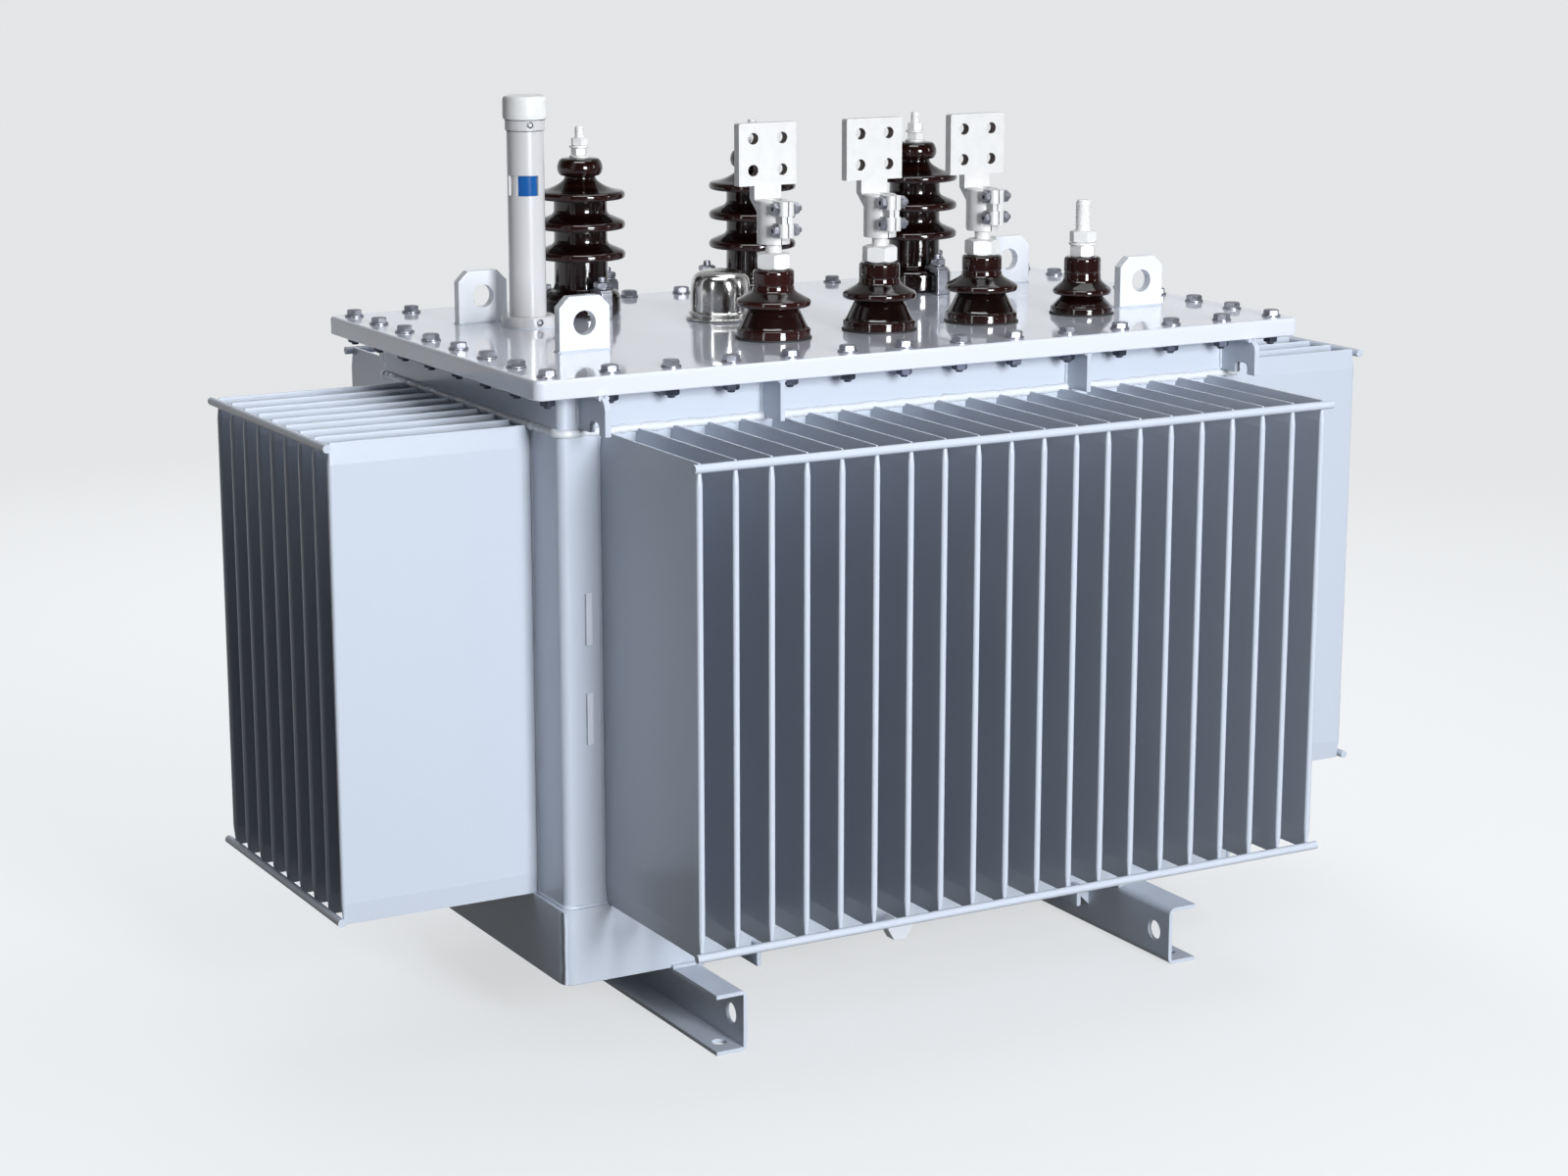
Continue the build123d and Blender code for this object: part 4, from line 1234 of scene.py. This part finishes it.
class TRANSFORMER_OT_set_stage(bpy.types.Operator):
    """Set the camera, the soft lights, the pale floor and the world"""

    bl_idname = "transformer.set_stage"
    bl_label = "Set the stage"

    def execute(self, context):
        settings = context.scene.transformer_stage
        scene = context.scene
        scene.view_settings.view_transform = "Standard"
        self.add_camera(scene, settings)
        self.add_floor(settings)
        self.add_lights(settings)
        self.add_world(scene, settings)
        return {"FINISHED"}

    def add_camera(self, scene, settings):
        data = bpy.data.cameras.new("view")
        data.lens = settings.lens
        data.sensor_width = 36
        camera = link("view", data)
        camera.location = CAMERA_PLACE
        camera.rotation_euler = (math.radians(90 - CAMERA_DOWN), 0, CAMERA_TURN)
        scene.camera = camera

    def add_floor(self, settings):
        """A floor that takes the object's shadow and fades into a pale backdrop."""
        half_size, fade_from, fade_to = 60, 0.8, 4.0
        colour, pale = settings.floor, settings.backdrop
        bm = bmesh.new()
        bmesh.ops.create_grid(bm, x_segments=1, y_segments=1, size=half_size)
        floor = object_of(bm, "studio_floor")
        made = material("studio_floor_paint", Roughness=0.7, Specular_IOR_Level=0.1)
        tree = made.node_tree
        tint = mottled(tree, colour, 0.99, 1.01, 1.3, 2.0)
        # Light that bounces off the floor is dimmer than the floor that is seen
        wire(made, Base_Color=blend(tree, camera_ray(tree), rgba(colour, 0.25), tint))
        place = add_node(tree, "ShaderNodeTexCoord").outputs["Object"]
        radius = add_node(
            tree, "ShaderNodeVectorMath", {"operation": "LENGTH"}, Vector=place
        ).outputs["Value"]
        away = spread(tree, radius, 0, 1, fade_from, fade_to)
        # Far off, reflections find it dark towards the front, and the camera sees it pale
        y = separate(tree, "Object")["Y"]
        mirrored = spread(tree, y, pale * 0.12, pale, -2.5, 0.4)
        seen = spread(tree, y, pale * 1.17, pale, -1.5, 2.5)
        far = emission(tree, pick(tree, camera_ray(tree), mirrored, seen))
        shader = tree.nodes["Principled BSDF"].outputs[0]
        glow = emission(tree, pick(tree, camera_ray(tree), pale * 0.3, pale * 0.78))
        near = join_shaders(tree, "ShaderNodeAddShader", shader, glow)
        shown = join_shaders(tree, "ShaderNodeMixShader", away, near, far)
        direct = compute(tree, "MAXIMUM", camera_ray(tree), mirrored_ray(tree))
        final = join_shaders(tree, "ShaderNodeMixShader", direct, shader, shown)
        tree.links.new(final, tree.nodes["Material Output"].inputs["Surface"])
        floor.data.materials.append(made)

    def add_lights(self, settings):
        """Soft lights; the strips show in gloss alone, and the rear one never does."""
        target = Vector((0, 0, 0.5))
        for name, place, width, height, share in LIGHTS:
            data = bpy.data.lights.new(name, "AREA")
            data.shape = "RECTANGLE"
            data.size, data.size_y = width, height
            data.energy = settings.key_power * share
            data.color = LIGHT
            light = link(name, data)
            light.location = place
            aim = (target - Vector(place)).to_track_quat("-Z", "Y")
            light.rotation_euler = aim.to_euler()
            light.visible_glossy = name != "rear"
            light.visible_diffuse = not name.endswith("strip")

    def add_world(self, scene, settings):
        """Pale where it is seen; as light and in gloss it dims towards the camera."""
        world = bpy.data.worlds.new("studio")
        world.use_nodes = True
        tree = world.node_tree
        axes = separate(tree, "Generated")
        x, y, z = axes["X"], axes["Y"], axes["Z"]
        ambient, pale = settings.ambient, settings.backdrop
        light = spread(tree, y, ambient * 0.3, ambient * 1.3, -0.9, 0.3)
        light = compute(tree, "MULTIPLY", light, spread(tree, x, 0.5, 1.3, -1, 1))
        light = compute(tree, "MULTIPLY", light, spread(tree, z, 0.6, 1.25, 0.0, 0.8))
        # How far back a direction lies, seen from the camera
        depth = compute(
            tree, "ADD", compute(tree, "MULTIPLY", x, 0.49), compute(tree, "MULTIPLY", y, 0.87)
        )
        gloss = spread(tree, depth, 0.06, pale, -0.1, 0.85)
        gloss = compute(tree, "MULTIPLY", gloss, spread(tree, z, 1.0, 0.5, 0.05, 0.5))
        strength = pick(tree, mirrored_ray(tree), light, gloss)
        strength = pick(tree, camera_ray(tree), strength, pale)
        background = tree.nodes["Background"]
        background.inputs["Color"].default_value = PALE
        tree.links.new(strength, background.inputs["Strength"])
        scene.world = world


class TRANSFORMER_PT_panel(bpy.types.Panel):
    """Lists the steps that dress the transformer"""

    bl_label = "Transformer"
    bl_idname = "TRANSFORMER_PT_panel"
    bl_space_type = "VIEW_3D"
    bl_region_type = "UI"
    bl_category = "Transformer"

    def draw(self, context):
        for group in SETTINGS:
            block = getattr(context.scene, group)
            for name in block.bl_rna.properties.keys():
                if name not in ("rna_type", "name"):
                    self.layout.prop(block, name)
        for operator in OPERATORS:
            self.layout.operator(operator.bl_idname)


OPERATORS = (
    TRANSFORMER_OT_set_stage,
    TRANSFORMER_OT_paint_tank,
    TRANSFORMER_OT_lay_welds,
    TRANSFORMER_OT_add_post_strips,
    TRANSFORMER_OT_bolt_cover,
    TRANSFORMER_OT_fit_bushings,
    TRANSFORMER_OT_fit_studs,
    TRANSFORMER_OT_fit_claws,
    TRANSFORMER_OT_fit_flags,
    TRANSFORMER_OT_fit_gauge,
    TRANSFORMER_OT_fit_dome,
)
SETTINGS = {
    "transformer_finish": FinishSettings,
    "transformer_fasteners": FastenerSettings,
    "transformer_welds": WeldSettings,
    "transformer_stage": StageSettings,
}


def register():
    for cls in (*SETTINGS.values(), *OPERATORS, TRANSFORMER_PT_panel):
        bpy.utils.register_class(cls)
    for name, group in SETTINGS.items():
        setattr(bpy.types.Scene, name, PointerProperty(type=group))


def unregister():
    for name in SETTINGS:
        delattr(bpy.types.Scene, name)
    for cls in (TRANSFORMER_PT_panel, *reversed(OPERATORS), *reversed(SETTINGS.values())):
        bpy.utils.unregister_class(cls)


def main():
    register()
    for operator in OPERATORS:
        family, step = operator.bl_idname.split(".")
        getattr(getattr(bpy.ops, family), step)()


if __name__ == "__main__":
    main()
